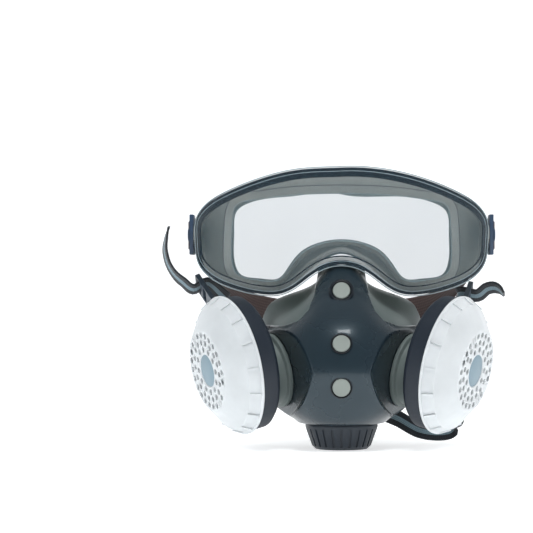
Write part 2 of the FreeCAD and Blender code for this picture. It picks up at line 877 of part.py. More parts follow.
# ---------------------------------------------------------------- straps
def strap_shape(stations, width, thick):
    """A flat strap through stations, each a place and the direction of the strap's width."""
    places = [Vector(*place) for place, _ in stations]
    wires = []
    for i, (_, across) in enumerate(stations):
        ahead = places[min(i + 1, len(places) - 1)] - places[max(i - 1, 0)]
        ahead.normalize()
        across = Vector(*across)
        across = (across - ahead * across.dot(ahead)).normalize() * (width / 2)
        normal = ahead.cross(across).normalize() * (thick / 2)
        corners = [
            places[i] + across + normal,
            places[i] - across + normal,
            places[i] - across - normal,
            places[i] + across - normal,
        ]
        wires.append(Part.makePolygon([*corners, corners[0]]))
    return Part.makeLoft(wires, True, True)


def mirrored(stations):
    return [((-p[0], p[1], p[2]), (-w[0], w[1], w[2])) for p, w in stations]


# The goggle headband's right half, from the bracket's slot round to the slider at the back.
HEADBAND = [
    ((91.0, 68.6, 128.5), (0, 0, 1)),
    ((93.4, 69.05, 128.5), (0, 0, 1)),
    ((95.9, 70.0, 128.5), (0, 0, 1)),
    ((95.4, 75.5, 128.0), (0, 0.1, 1)),
    ((91.0, 82.0, 124.5), (0, 0.3, 0.9)),
    ((84.5, 87.5, 115.0), (0, 0.5, 0.8)),
    ((75.0, 92.0, 100.0), (0, 0.7, 0.7)),
    ((60.0, 95.5, 86.0), (0, 0.6, 0.8)),
    ((40.0, 98.5, 80.0), (0, 0.4, 0.9)),
    ((20.0, 100.0, 78.0), (0, 0.3, 0.95)),
    ((8.6, 100.2, 77.8), (0, 0.25, 0.97)),
]
# Each buckle swings on a pin at its lower end. Width is the pin's direction, length leads up the
# plate from the pin.
BUCKLES = {
    "left": {"pin": (-77.5, 45.0, 82.5), "width": (0, -0.78, 0.62), "length": (-0.47, 0.5, 0.66)},
    "right": {"pin": (74.5, 44.5, 79.0), "width": (0, -0.62, 0.78), "length": (0.25, 0.72, 0.58)},
}
SLOT_REACH = 20.5
# The free tails, from the tip in to the buckle.
LEFT_TAIL = [
    ((-106.5, 44.0, 133.0), (0.10, -0.98, 0.20)),
    ((-108.2, 44.8, 126.0), (0.25, -0.95, 0.20)),
    ((-109.0, 46.0, 118.5), (0.30, -0.92, 0.25)),
    ((-107.3, 47.8, 110.5), (0.25, -0.90, 0.35)),
    ((-103.6, 49.8, 104.0), (0.10, -0.84, 0.52)),
    ((-98.5, 52.0, 99.0), (0, -0.78, 0.62)),
]
RIGHT_TAIL = [
    ((101.0, 52.2, 91.2), (-0.10, -0.95, 0.25)),
    ((98.5, 53.3, 94.2), (0, -0.85, 0.50)),
    ((95.0, 54.8, 95.6), (0, -0.72, 0.68)),
    ((90.5, 56.5, 94.6), (0, -0.66, 0.74)),
]
# From the buckle down behind the mask to the crown cradle on the ground.
BEHIND = [
    ((73.0, 66.0, 88.0), (0.3, -0.45, 0.85)),
    ((70.0, 71.5, 81.0), (0.5, 0.10, 0.85)),
    ((66.5, 76.5, 66.0), (0.6, 0.45, 0.66)),
    ((60.0, 82.0, 49.0), (0.6, 0.45, 0.66)),
    ((49.0, 87.5, 37.0), (0.4, 0.40, 0.80)),
    ((36.0, 91.5, 30.0), (0.1, 0.50, 0.85)),
    ((26.0, 95.0, 20.0), (0.1, 0.70, 0.70)),
    ((20.0, 98.0, 8.4), (0.1, 0.95, 0.20)),
    ((14.5, 99.0, 4.4), (0.0, 1.0, 0.0)),
    ((9.5, 99.0, 4.4), (0.0, 1.0, 0.0)),
]
# The neck strap lies on its edge behind the mask. The right half bows out past the filter.
NECK_RIGHT = [
    ((56.0, 46.0, 33.0), (0.1, 0.15, 1)),
    ((65.0, 44.5, 27.0), (0.5, 0.2, 0.8)),
    ((71.0, 42.0, 17.5), (0.7, 0.35, 0.6)),
    ((69.5, 40.5, 8.8), (0.4, 0.5, 0.75)),
    ((62.0, 40.0, 5.8), (0.1, 0.5, 0.85)),
    ((48.0, 42.5, 7.4), (-0.1, 0.45, 0.9)),
    ((34.0, 46.5, 14.8), (-0.3, 0.35, 0.9)),
    ((24.0, 52.0, 17.0), (-0.1, 0.3, 0.95)),
    ((18.0, 58.0, 10.5), (0, 0.2, 1)),
    ((15.2, 61.6, 7.1), (0, 0, 1)),
    ((11.7, 62.0, 6.8), (0, 0, 1)),
]
NECK_LEFT = [
    ((-11.7, 62.0, 6.9), (0, 0, 1)),
    ((-15.2, 61.8, 7.1), (0, 0, 1)),
    ((-18.0, 59.5, 14.0), (-0.3, 0.1, 0.95)),
    ((-22.0, 57.0, 26.0), (-0.4, 0.15, 0.9)),
    ((-34.0, 54.5, 32.0), (-0.1, 0.2, 1)),
    ((-46.0, 51.0, 34.0), (0, 0.2, 1)),
    ((-56.0, 46.0, 33.0), (0, 0.15, 1)),
]


def buckle_frame(name):
    """X runs along the pin, Y up the plate and Z out of its face. The origin is on the pin."""
    plan = BUCKLES[name]
    across = Vector(*plan["width"]).normalize()
    up = Vector(*plan["length"])
    up = (up - across * up.dot(across)).normalize()
    return axes_placement(Vector(*plan["pin"]), across, up, across.cross(up))


def through_slot(name, side):
    """The strap's stations on each side of the buckle's upper slot, from outside in."""
    frame = buckle_frame(name)
    across = frame.Rotation.multVec(Vector(1, 0, 0))
    faces = [frame.multVec(Vector(0, SLOT_REACH, reach)) for reach in (-5.0, 5.0)]
    faces.sort(key=lambda spot: -side * spot.x)
    return [(tuple(spot), tuple(across)) for spot in faces]


def make_straps():
    thick = N["strap_thick"]
    left = LEFT_TAIL + through_slot("left", -1) + mirrored(BEHIND)
    right = RIGHT_TAIL + through_slot("right", 1) + BEHIND
    for name, route in (("left", mirrored(HEADBAND)), ("right", HEADBAND)):
        freeform(f"{name}_headband", strap_shape(route, N["band_width"], thick))
    for name, route in (("left", left), ("right", right)):
        freeform(f"{name}_harness_strap", strap_shape(route, N["strap_width"], thick))
    for name, route in (("left", NECK_LEFT), ("right", NECK_RIGHT)):
        freeform(f"{name}_neck_strap", strap_shape(route, N["strap_width"], thick))


# ---------------------------------------------------------------- strap hardware
def facing(spot, normal, up):
    """A placement whose Z looks along normal and whose Y is as near up as it can be."""
    normal = Vector(*normal).normalize()
    up = Vector(*up)
    up = (up - normal * up.dot(normal)).normalize()
    return axes_placement(Vector(*spot), up.cross(normal), up, normal)


def flat_frame(name, spot, width, height, thickness, slots):
    """A flat plate centred on its own origin, with straight slots through it."""
    half_width, half_height = as_size(width) / 2, as_size(height) / 2
    plate = padded(
        name,
        lambda k: draw_slot_box(k, (-half_width, -half_height), (half_width, half_height)),
        -thickness / 2,
        thickness,
        spot,
    )
    for i, (low, high) in enumerate(slots):
        cut_through(plate, f"{name}_slot_{i}", lambda k, a=low, b=high: draw_slot_box(k, a, b))
    return plate


def make_buckle(name):
    """A ladder buckle: a plate with two strap slots above an eye for its pin."""
    half, long, eye = S["buckle_width"] / 2, S["buckle_length"], S["eye_radius"]
    thickness, bore_radius = 3.0, S["pin_radius"] + 0.05
    frame = buckle_frame(name)
    plate = padded(
        f"{name}_buckle",
        lambda k: draw_slot_box(k, (-half, eye - 1.2), (half, long)),
        -thickness / 2,
        thickness,
        frame,
    )
    eye_outline = new_sketch(plate, f"{name}_eye_outline", "YZ_Plane")
    draw_circle(eye_outline, 0, 0, eye)
    eye_pad = plate.newObject("PartDesign::Pad", f"{name}_eye")
    eye_pad.Profile = eye_outline
    eye_pad.Midplane = True
    eye_pad.setExpression("Length", S["buckle_width"].text)
    doc.recompute()
    cut_through(plate, f"{name}_eye_bore", lambda k: draw_circle(k, 0, 0, bore_radius), "YZ_Plane")
    cut_through(plate, f"{name}_knuckle_gap", lambda k: draw_slot_box(k, (-3, -4), (3, eye + 0.4)))
    for i, middle in enumerate((SLOT_REACH, SLOT_REACH - 7.5)):
        low, high = (-5.6, middle - 2.3), (5.6, middle + 2.3)
        cut_through(plate, f"{name}_slot_{i}", lambda k, a=low, b=high: draw_slot_box(k, a, b))
    return plate


def make_anchor(name, side, shell_block):
    """The arm from the shell's shoulder to the buckle's knuckle, with the pin through it."""
    frame = buckle_frame(name)
    across = frame.Rotation.multVec(Vector(1, 0, 0))
    pin_at = frame.Base
    knuckle = Part.makeCylinder(N["eye_radius"] - 0.2, 5.4, Vector(0, 0, -2.7))
    bore_tool = Part.makeCylinder(N["pin_radius"] + 0.02, 8, Vector(0, 0, -4))
    along_pin = Rotation(Vector(0, 0, 1), across)
    knuckle.Placement = bore_tool.Placement = Placement(pin_at, along_pin)
    root = Vector(side * 46.0, 30.0, 66.0)
    bend = Vector(side * 62.0, 38.0, 72.0)
    near = pin_at + (bend - pin_at).normalize() * 2.0
    width = tuple(across)
    stations = [(tuple(root), width), (tuple(bend), width), (tuple(near), width)]
    arm = strap_shape(stations, 5.4, 2.4).cut(shell_block)
    arm = max(arm.Solids, key=lambda solid: solid.BoundBox.XMax * side)
    freeform(f"{name}_strap_anchor", arm.fuse(knuckle).cut(bore_tool).removeSplitter())
    pin = doc.addObject("Part::Cylinder", f"{name}_anchor_pin")
    pin.setExpression("Radius", S["pin_radius"].text)
    pin.setExpression("Height", (S["buckle_width"] + 1.0).text)
    start = pin_at - across * (N["buckle_width"] / 2 + 0.5)
    pin.Placement = Placement(start, along_pin)
    pin.Label = f"{name}_anchor_pin"


# The neck strap is held by a lug on each side of the shell, from its root to its tip.
LUG = [
    ((41.0, 20.0, 33.0), (0, 0, 1)),
    ((50.0, 30.0, 33.0), (0, 0, 1)),
    ((53.8, 39.0, 33.0), (0, 0, 1)),
    ((54.6, 44.4, 33.0), (0, 0, 1)),
]
LUG_WIDTH, LUG_THICK = 9.0, 2.4


def make_lug(name, side, shell_block):
    """The lug that reaches from the shell's flank to the end of the neck strap."""
    route = LUG if side > 0 else mirrored(LUG)
    lug = strap_shape(route, LUG_WIDTH, LUG_THICK).cut(shell_block)
    freeform(f"{name}_neck_lug", max(lug.Solids, key=lambda solid: solid.BoundBox.XMax * side))


def make_hardware():
    slider_spot = facing((0, 100.2, 77.8), (0, 0.97, -0.25), (0, 0.25, 0.97))
    flat_frame("headband_slider", slider_spot, 16.8, 24.0, 3.6, [((-5.6, -9.6), (5.6, 9.6))])
    cradle_spot = facing((0, 99, 2.0), (0, 0, 1), (0, 1, 0))
    flat_frame("crown_cradle", cradle_spot, 42.0, 24.0, 3.2, [((-8.0, -6.0), (8.0, 6.0))])
    clasp_spot = facing((0, 62, 6.8), (0, 1, 0), (0, 0, 1))
    flat_frame("neck_clasp", clasp_spot, 21.4, 12.6, 3.4, [((-7.0, -3.6), (7.0, 3.6))])
    shell_block = mask_block(N["clear_gap"] + N["shell_wall"] + 0.02, floor_drop=SHELL_FLOOR)
    for name, side in SIDES:
        make_buckle(name)
        make_anchor(name, side, shell_block)
        make_lug(name, side, shell_block)


make_straps()
make_hardware()


# ---------------------------------------------------------------- checks and export
SUB_PARTS = ("PartDesign::Body", "Part::Feature", "Part::Cylinder")
doc.recompute()
os.makedirs("parts", exist_ok=True)
for thing in doc.Objects:
    if "Invalid" in thing.State or "Error" in thing.State:
        raise RuntimeError(f"{thing.Label} failed: {thing.State}")
for thing in doc.Objects:
    if thing.TypeId not in SUB_PARTS:
        continue
    shape = thing.Shape
    if shape.isNull() or not shape.isValid() or not shape.Solids:
        raise RuntimeError(f"{thing.Label} has no valid solid")
    print(f"{thing.Label}: {len(shape.Solids)} solid(s), {shape.Volume:.0f} mm3")
    shape.exportStep(f"parts/{thing.Label}.step")
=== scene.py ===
# %% [markdown]
# # A painter's half mask with goggles
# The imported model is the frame: every piece below takes its place from a part that is already
# there, and rides on the body that part belongs to. Lengths are in metres, and MM turns a
# millimetre into one.

# %% Load the frame
import json
import math

import bmesh
import bpy
from mathutils import Matrix, Vector
from mathutils.bvhtree import BVHTree
from mathutils.geometry import delaunay_2d_cdt

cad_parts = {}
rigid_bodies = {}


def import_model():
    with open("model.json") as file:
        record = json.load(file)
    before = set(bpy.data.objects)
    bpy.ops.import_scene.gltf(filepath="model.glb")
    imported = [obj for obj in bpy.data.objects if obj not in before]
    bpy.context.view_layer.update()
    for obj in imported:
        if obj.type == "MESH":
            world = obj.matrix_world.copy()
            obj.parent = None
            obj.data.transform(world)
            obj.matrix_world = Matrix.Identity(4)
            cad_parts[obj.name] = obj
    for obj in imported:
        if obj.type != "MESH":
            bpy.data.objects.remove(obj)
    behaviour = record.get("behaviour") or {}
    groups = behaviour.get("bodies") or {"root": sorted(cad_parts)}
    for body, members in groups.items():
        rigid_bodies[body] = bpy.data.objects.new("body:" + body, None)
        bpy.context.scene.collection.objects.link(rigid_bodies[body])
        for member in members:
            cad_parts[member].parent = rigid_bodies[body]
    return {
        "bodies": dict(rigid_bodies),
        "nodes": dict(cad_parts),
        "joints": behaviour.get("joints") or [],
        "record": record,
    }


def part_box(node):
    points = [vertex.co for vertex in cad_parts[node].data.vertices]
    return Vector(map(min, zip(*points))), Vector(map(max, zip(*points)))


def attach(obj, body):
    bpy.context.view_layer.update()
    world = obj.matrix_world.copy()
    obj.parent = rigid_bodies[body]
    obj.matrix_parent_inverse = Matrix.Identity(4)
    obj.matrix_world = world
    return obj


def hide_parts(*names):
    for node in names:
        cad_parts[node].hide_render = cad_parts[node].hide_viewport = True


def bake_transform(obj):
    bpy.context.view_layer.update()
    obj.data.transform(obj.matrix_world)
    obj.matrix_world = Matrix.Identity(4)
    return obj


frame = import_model()
NODES = frame["nodes"]
JOINTS = {joint["name"]: joint for joint in frame["joints"]}
BODIES = frame["record"]["behaviour"]["bodies"]
BODY_OF = {node: body for body, nodes in BODIES.items() for node in nodes}
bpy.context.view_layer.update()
MM = 0.001
SIDES = {"left": -1, "right": 1}

# %% [markdown]
# ## Node trees as sums
# A shader or a geometry tree is easier to read as arithmetic than as boxes and wires. Value wraps
# a socket, so that + - * / add Math nodes, and Graph.node adds any other node in one call.


# %% A socket that can be added and multiplied
class Value:
    """A number, colour or vector on its way through a node tree."""

    def __init__(self, graph, socket):
        self.graph = graph
        self.socket = socket

    def maths(self, operation, *others):
        return self.graph.node("ShaderNodeMath", {"operation": operation}, [self, *others])

    def __add__(self, other):
        return self.maths("ADD", other)

    def __sub__(self, other):
        return self.maths("SUBTRACT", other)

    def __mul__(self, other):
        return self.maths("MULTIPLY", other)

    def __truediv__(self, other):
        return self.maths("DIVIDE", other)

    def __rsub__(self, other):
        return self.graph.node("ShaderNodeMath", {"operation": "SUBTRACT"}, [other, self])

    __radd__ = __add__
    __rmul__ = __mul__

    def above(self, limit):
        return self.maths("GREATER_THAN", limit)

    def wave(self):
        """A smooth wave from 0 to 1, one crest each whole number."""
        return (self * (2 * math.pi)).maths("SINE") * 0.5 + 0.5


# %% A node tree written line by line
class Graph:
    """Adds nodes to a tree and hands back their outputs."""

    def __init__(self, tree):
        self.tree = tree

    def node(self, kind, settings=None, inputs=(), output=0):
        made = self.tree.nodes.new(kind)
        for name, setting in (settings or {}).items():
            if name == "stops":
                self.set_stops(made.color_ramp, setting)
            else:
                setattr(made, name, setting)
        pairs = inputs.items() if isinstance(inputs, dict) else enumerate(inputs)
        for key, value in pairs:
            if isinstance(value, Value):
                self.tree.links.new(value.socket, made.inputs[key])
            elif value is not None:
                made.inputs[key].default_value = value
        return Value(self, made.outputs[output])

    @staticmethod
    def set_stops(ramp, stops):
        while len(ramp.elements) < len(stops):
            ramp.elements.new(0.5)
        for element, (place, colour) in zip(ramp.elements, stops):
            element.position = place
            element.color = colour


# %% [markdown]
# ## Finishes
# Every finish starts from one Principled shader. Constants sit on its own sockets. What varies
# over the surface, such as mottling, scuffs and grain, is read from Object coordinates, so it
# stays put when the part moves.


# %% Colours and the finish class
def srgb(code):
    """A linear colour from a six-digit hex code."""
    channels = [int(code[i : i + 2], 16) / 255 for i in (0, 2, 4)]
    linear = [c / 12.92 if c <= 0.04045 else ((c + 0.055) / 1.055) ** 2.4 for c in channels]
    return (*linear, 1.0)


def shaded(colour, share):
    """The same colour, darker or lighter."""
    return tuple(channel * share for channel in colour[:3]) + (1.0,)


class Finish(Graph):
    """A material with one Principled shader, ready for its maps."""

    def __init__(self, name, colour, **constants):
        self.material = bpy.data.materials.new(name)
        self.material.use_nodes = True
        super().__init__(self.material.node_tree)
        self.surface = self.tree.nodes["Principled BSDF"]
        self.colour = srgb(colour)
        self.surface.inputs["Base Color"].default_value = self.colour
        self.surface.inputs["Subsurface Radius"].default_value = (1.0, 1.0, 1.0)
        for socket, number in constants.items():
            self.surface.inputs[socket.replace("_", " ")].default_value = number
        self.place = self.node("ShaderNodeTexCoord", output="Object")
        self.normal = None

    def noise(self, scale, detail=3.0):
        inputs = {"Vector": self.place, "Scale": scale, "Detail": detail}
        return self.node("ShaderNodeTexNoise", {}, inputs)

    def blend(self, factor, first, second):
        """A colour between two colours. A Mix node's colour sockets are 6, 7 and output 2."""
        inputs = {0: factor, 6: first, 7: second}
        return self.node("ShaderNodeMix", {"data_type": "RGBA"}, inputs, output=2)

    def feed(self, socket, value):
        self.tree.links.new(value.socket, self.surface.inputs[socket])

    def bump(self, height, depth, strength=1.0):
        """Raises the surface by depth metres where height is 1."""
        inputs = {"Height": height, "Distance": depth, "Strength": strength}
        if self.normal:
            inputs["Normal"] = self.normal
        self.normal = self.node("ShaderNodeBump", {}, inputs)
        self.feed("Normal", self.normal)

    def mottle(self, scale, dark, light):
        """Base colour that drifts between two shades of itself."""
        shades = shaded(self.colour, dark), shaded(self.colour, light)
        self.feed("Base Color", self.blend(self.noise(scale), *shades))

    def roughness(self, scale, low, high):
        self.feed("Roughness", self.noise(scale, 4.0) * (high - low) + low)


# %% [markdown]
# ### Hard plastics
# The shell is a glossy moulding: a dark base under a clear sheen, with faint orange peel and
# handling smears. The filter cups are spark-eroded, so they get a fine even grain instead.


# %% Hard plastic finishes
def gloss_shell():
    f = Finish("shell_gloss_slate", "1a272f", Coat_Weight=0.3, Coat_Roughness=0.07)
    f.surface.inputs["Specular Tint"].default_value = (0.76, 0.92, 1.0, 1.0)
    f.mottle(22.0, 0.86, 1.16)
    f.roughness(34.0, 0.2, 0.34)
    f.bump(f.noise(900.0, 2.0), 0.00003, 0.35)
    return f.material


def grained_plastic(name, colour, low, high, grain=1700.0, depth=0.00005):
    f = Finish(name, colour)
    f.mottle(40.0, 0.88, 1.12)
    f.roughness(60.0, low, high)
    f.bump(f.noise(grain, 3.0), depth, 0.6)
    return f.material


def smoke_frame():
    """Smoke-tinted plastic. Light comes through its thin walls, less so where it is mottled."""
    f = Finish("goggle_smoke", "d4d5ce", IOR=1.45)
    f.mottle(30.0, 0.93, 1.05)
    f.feed("Alpha", f.noise(24.0, 2.0) * 0.14 + 0.44)
    f.roughness(50.0, 0.16, 0.36)
    return f.material


def polished(name, colour, low=0.06, high=0.18):
    """Hard gloss for rims and rings, with faint rub marks."""
    f = Finish(name, colour, Coat_Weight=0.4, Coat_Roughness=0.05)
    f.mottle(70.0, 0.85, 1.2)
    f.roughness(90.0, low, high)
    return f.material


# %% [markdown]
# ### Soft parts, frosted covers and glass
# The facepiece is a grey-green elastomer that lets a little light in, so it has subsurface
# scattering. The covers are frosted: bright, cloudy and slightly see-through.


# %% Soft, frosted and clear finishes
def soft_rubber(name, colour, scatter=0.35):
    f = Finish(name, colour, Subsurface_Weight=scatter, Subsurface_Scale=0.006)
    f.mottle(26.0, 0.9, 1.1)
    f.roughness(45.0, 0.34, 0.52)
    f.bump(f.noise(1300.0, 2.0), 0.00004, 0.5)
    return f.material


def frosted_cover():
    """Cloudy polypropylene: milky, with thin spots that let the dark cup show through."""
    f = Finish(
        "cover_frosted_white", "e4e9ec", Subsurface_Weight=0.45, Subsurface_Scale=0.007, IOR=1.49
    )
    f.mottle(38.0, 0.84, 1.06)
    clouds = f.noise(46.0, 5.0)
    f.feed("Alpha", clouds * 0.3 + 0.74)
    f.roughness(55.0, 0.22, 0.42)
    f.bump(f.noise(520.0, 4.0), 0.00006, 0.45)
    return f.material


def clear_lens():
    """A faint blue-grey veil. Light passes straight through, so the inside is lit as well."""
    f = Finish("lens_clear", "486270", IOR=1.5, Coat_Weight=0.6, Coat_Roughness=0.02)
    f.feed("Alpha", f.noise(9.0, 3.0) * 0.06 + 0.17)
    f.feed("Roughness", f.noise(12.0, 5.0) * 0.03 + 0.02)
    return f.material


def silicone():
    f = Finish("flap_silicone", "c9c9bb", Subsurface_Weight=0.4, Subsurface_Scale=0.003)
    f.mottle(60.0, 0.94, 1.03)
    f.roughness(80.0, 0.3, 0.45)
    return f.material


# %% [markdown]
# ### Filter layers and webbing
# Felt is a tangle of fibres: stretched noise in two directions. Webbing reads its own UV map, u
# along the strap and v across it, so the ribs of the weave follow every bend.


# %% Felt and webbing finishes
def felt(name, colour, dark, light):
    f = Finish(name, colour, Roughness=0.95, Sheen_Weight=0.4, Sheen_Roughness=0.6)
    fibres = f.noise(900.0, 6.0) * 0.6 + f.noise(260.0, 5.0) * 0.4
    f.feed("Base Color", f.blend(fibres, shaded(f.colour, dark), shaded(f.colour, light)))
    f.bump(fibres, 0.0006, 0.8)
    return f.material


def webbing(name, colour, stripe=None, pitch=0.0012):
    """Woven elastic. stripe is the colour of a band down its middle."""
    f = Finish(name, colour, Sheen_Weight=0.25, Sheen_Roughness=0.5)
    uv = f.node("ShaderNodeUVMap", {"uv_map": "weave"})
    axes = f.node("ShaderNodeSeparateXYZ", {}, [uv])
    across = Value(f, axes.socket.node.outputs["Y"])
    picks = (axes / pitch).wave()
    ribs = (across * WARP_CORDS).wave()
    weave = ribs * 0.65 + picks * 0.35
    # The cords' own pattern, with painted shade: both the webbing and its stripe are darker where
    # the weave is low.
    base = f.blend(weave, shaded(f.colour, 0.55), f.colour)
    if stripe:
        offset = (across - 0.5).maths("ABSOLUTE")
        middle = 1.0 - offset.above(STRIPE_SHARE)
        pale = f.blend(weave, shaded(srgb(stripe), 0.6), srgb(stripe))
        base = f.blend(middle, base, pale)
    f.feed("Base Color", base)
    f.feed("Roughness", 0.78 - picks * 0.12)
    f.bump(weave, 0.00022, 0.8)
    return f.material


WARP_CORDS = 9.0
STRIPE_SHARE = 0.15


# %% [markdown]
# ## From a CAD part to a moulded piece
# A CAD part arrives as loose triangles with knife-sharp edges. A copy is merged, its flat
# triangles joined, and its edges rounded with a small Bevel, because real mouldings catch the
# light along their edges. Soft parts go through a voxel remesh and a few smoothing passes
# instead, which rounds every edge at once.


# %% Helpers that turn meshes into pieces
def add_object(name, data):
    obj = bpy.data.objects.new(name, data)
    bpy.context.scene.collection.objects.link(obj)
    return obj


def mesh_of(work, name, closed=True):
    """A mesh from a bmesh. The faces of a closed form are made to point outwards."""
    if closed:
        bmesh.ops.recalc_face_normals(work, faces=work.faces)
    mesh = bpy.data.meshes.new(name)
    work.to_mesh(mesh)
    work.free()
    return mesh


def round_pairs(count):
    """Each index with the next one, round a closed ring."""
    return [(i, (i + 1) % count) for i in range(count)]


def apply_modifiers(obj):
    """Bakes an object's modifiers into a plain mesh."""
    view = bpy.context.evaluated_depsgraph_get()
    mesh = bpy.data.meshes.new_from_object(obj.evaluated_get(view))
    old = obj.data
    obj.modifiers.clear()
    obj.data = mesh
    bpy.data.meshes.remove(old)
    return obj


def shade(obj, crease=35.0):
    """Smooth shading that keeps edges sharper than crease degrees."""
    obj.data.polygons.foreach_set("use_smooth", [True] * len(obj.data.polygons))
    obj.data.set_sharp_from_angle(angle=math.radians(crease))
    return obj


SEWING_GAP = 0.002 * MM
FLAT_ANGLE = math.radians(0.4)
ROUNDED_ANGLE = math.radians(28.0)


def merged_copy(node, name):
    """A CAD part's mesh with its loose triangles sewn together."""
    work = bmesh.new()
    work.from_mesh(NODES[node].data)
    bmesh.ops.remove_doubles(work, verts=work.verts, dist=SEWING_GAP)
    bmesh.ops.dissolve_limit(work, angle_limit=FLAT_ANGLE, verts=work.verts, edges=work.edges)
    corners = [vertex.co.copy() for vertex in work.verts]
    work.verts.index_update()
    faces = [[vertex.index for vertex in face.verts] for face in work.faces]
    work.free()
    mesh = bpy.data.meshes.new(name)
    mesh.from_pydata(corners, [], faces)
    return mesh


def finish_piece(obj, material, node, rides=True):
    """Gives a piece its material and lets it stand for a CAD part."""
    obj.data.materials.clear()
    obj.data.materials.append(material)
    if rides:
        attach(obj, BODY_OF[node])
    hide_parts(node)
    return obj


def moulded(node, material, edge=0.3, crease=35.0):
    """A hard moulding: the CAD shape with edges rounded by edge millimetres."""
    obj = add_object(f"{node}_moulding", merged_copy(node, f"{node}_moulding"))
    if edge:
        bevel = obj.modifiers.new("round the edges", "BEVEL")
        bevel.width = edge * MM
        bevel.segments = 2
        bevel.limit_method = "ANGLE"
        bevel.angle_limit = ROUNDED_ANGLE
        apply_modifiers(obj)
    shade(obj, crease)
    return finish_piece(obj, material, node)


def soft_moulded(node, material, voxel=0.6, passes=6):
    """A soft moulding: remeshed and smoothed, so all its edges roll over."""
    obj = add_object(f"{node}_soft", merged_copy(node, f"{node}_soft"))
    remesh = obj.modifiers.new("even skin", "REMESH")
    remesh.mode = "VOXEL"
    remesh.voxel_size = voxel * MM
    smooth = obj.modifiers.new("roll the edges", "SMOOTH")
    smooth.factor = 0.5
    smooth.iterations = passes
    apply_modifiers(obj)
    shade(obj, 80.0)
    return finish_piece(obj, material, node)


def turned_mesh(name, profile, matrix, segments=96):
    """A closed (radius, height) profile in millimetres, turned about matrix's Z axis."""
    work = bmesh.new()
    rings = []
    for step in range(segments):
        turn = 2 * math.pi * step / segments
        ring = []
        for radius, height in profile:
            spot = Vector((radius * math.cos(turn), radius * math.sin(turn), height)) * MM
            ring.append(work.verts.new(matrix @ spot))
        rings.append(ring)
    for here, there in zip(rings, rings[1:] + rings[:1]):
        for i, k in round_pairs(len(profile)):
            work.faces.new([here[i], there[i], there[k], here[k]])
    bmesh.ops.remove_doubles(work, verts=work.verts, dist=SEWING_GAP / 2)
    return mesh_of(work, name)


# %% [markdown]
# ## The shell and the facepiece
# The facepiece is the soft cup that seals on the face. The hard shell covers its front, and its
# lower edge ends in a thin flange just above the valve cap.

# %% Finishes of the mask
SHELL = gloss_shell()
FACE_RUBBER = soft_rubber("facepiece_rubber", "5f6a69")
STUD_GREY = grained_plastic("stud_grey", "8a918c", 0.4, 0.55, grain=1400.0)
PORT_GREY = grained_plastic("port_grey", "717c7a", 0.36, 0.52, grain=900.0)
CUP_DARK = grained_plastic("cup_dark", "18212c", 0.5, 0.68)
CAP_DARK = grained_plastic("cap_dark", "1b2631", 0.34, 0.5, grain=1200.0)
BUCKLE_DARK = grained_plastic("buckle_dark", "2c3946", 0.35, 0.5)
BRACKET_BLUE = grained_plastic("bracket_blue", "34465d", 0.34, 0.48)
RING_BLACK = grained_plastic("ring_black", "14161a", 0.4, 0.55, grain=600.0)
FLAP = silicone()

soft_moulded("facepiece", FACE_RUBBER, voxel=0.84)
soft_moulded("outer_shell", SHELL, voxel=0.66, passes=10)
print("shell and facepiece moulded")


# %% [markdown]
# ### Locking studs
# Three satin studs lock the shell to the facepiece. Each sits in a dark groove. The top one sits
# in a raised collar that turns it forward on the steep nose. A stud is a turned profile with a
# rolled edge and a faint dish, placed from the CAD stud.


# %% Studs on the axes of the CAD studs
def islands(mesh):
    """The separate bodies inside one mesh, each a list of faces as (centre, normal, area)."""
    work = bmesh.new()
    work.from_mesh(mesh)
    work.faces.ensure_lookup_table()
    left = set(work.faces)
    found = []
    while left:
        queue = [left.pop()]
        group = []
        while queue:
            face = queue.pop()
            group.append((face.calc_center_median(), face.normal.copy(), face.calc_area()))
            for edge in face.edges:
                for near in edge.link_faces:
                    if near in left:
                        left.remove(near)
                        queue.append(near)
        found.append(group)
    work.free()
    return found


def frame_on(origin, outward, up=Vector((0, 0, 1))):
    """A matrix whose Z looks outward and whose Y is as near up as it can be."""
    outward = outward.normalized()
    up = (up - outward * up.dot(outward)).normalized()
    across = up.cross(outward)
    axes = Matrix((across, up, outward)).transposed().to_4x4()
    return Matrix.Translation(origin) @ axes


def stud_heads():
    """A frame on the front face of each stud, top stud first."""
    heads = []
    mesh = merged_copy("locking_studs", "studs_measured")
    for group in islands(mesh):
        centre, normal, _ = max(group, key=lambda face: face[2] if face[1].y < -0.3 else 0)
        heads.append(frame_on(centre, normal))
    bpy.data.meshes.remove(mesh)
    return sorted(heads, key=lambda head: -head.translation.z)


STUD_RADIUS = 5.2
STUD_PROFILE = [
    (0.0, -3.6), (STUD_RADIUS - 0.1, -3.6), (STUD_RADIUS - 0.1, -0.5), (STUD_RADIUS - 0.4, -0.1),
    (STUD_RADIUS - 0.9, 0.0), (STUD_RADIUS - 1.3, -0.05), (3.2, -0.16), (0.0, -0.2),
]
GROOVE_PROFILE = [
    (STUD_RADIUS - 0.1, -1.6), (STUD_RADIUS + 0.9, -1.6), (STUD_RADIUS + 1.0, -0.45),
    (STUD_RADIUS + 0.8, -0.3), (STUD_RADIUS + 0.5, -0.45), (STUD_RADIUS + 0.3, -0.9),
    (STUD_RADIUS - 0.1, -0.95),
]
COLLAR_PROFILE = [
    (0.0, -9.0), (STUD_RADIUS + 2.4, -9.0), (STUD_RADIUS + 2.0, -0.6), (STUD_RADIUS + 1.7, -0.1),
    (STUD_RADIUS + 1.3, 0.1), (STUD_RADIUS + 0.8, 0.0), (STUD_RADIUS + 0.4, -0.5),
    (STUD_RADIUS + 0.1, -1.6), (0.0, -1.6),
]
COLLAR_TURN = math.radians(27)
COLLAR_LIFT = 1.3


def joined(name, meshes):
    """One mesh from several."""
    work = bmesh.new()
    for mesh in meshes:
        work.from_mesh(mesh)
        bpy.data.meshes.remove(mesh)
    return mesh_of(work, name, closed=False)


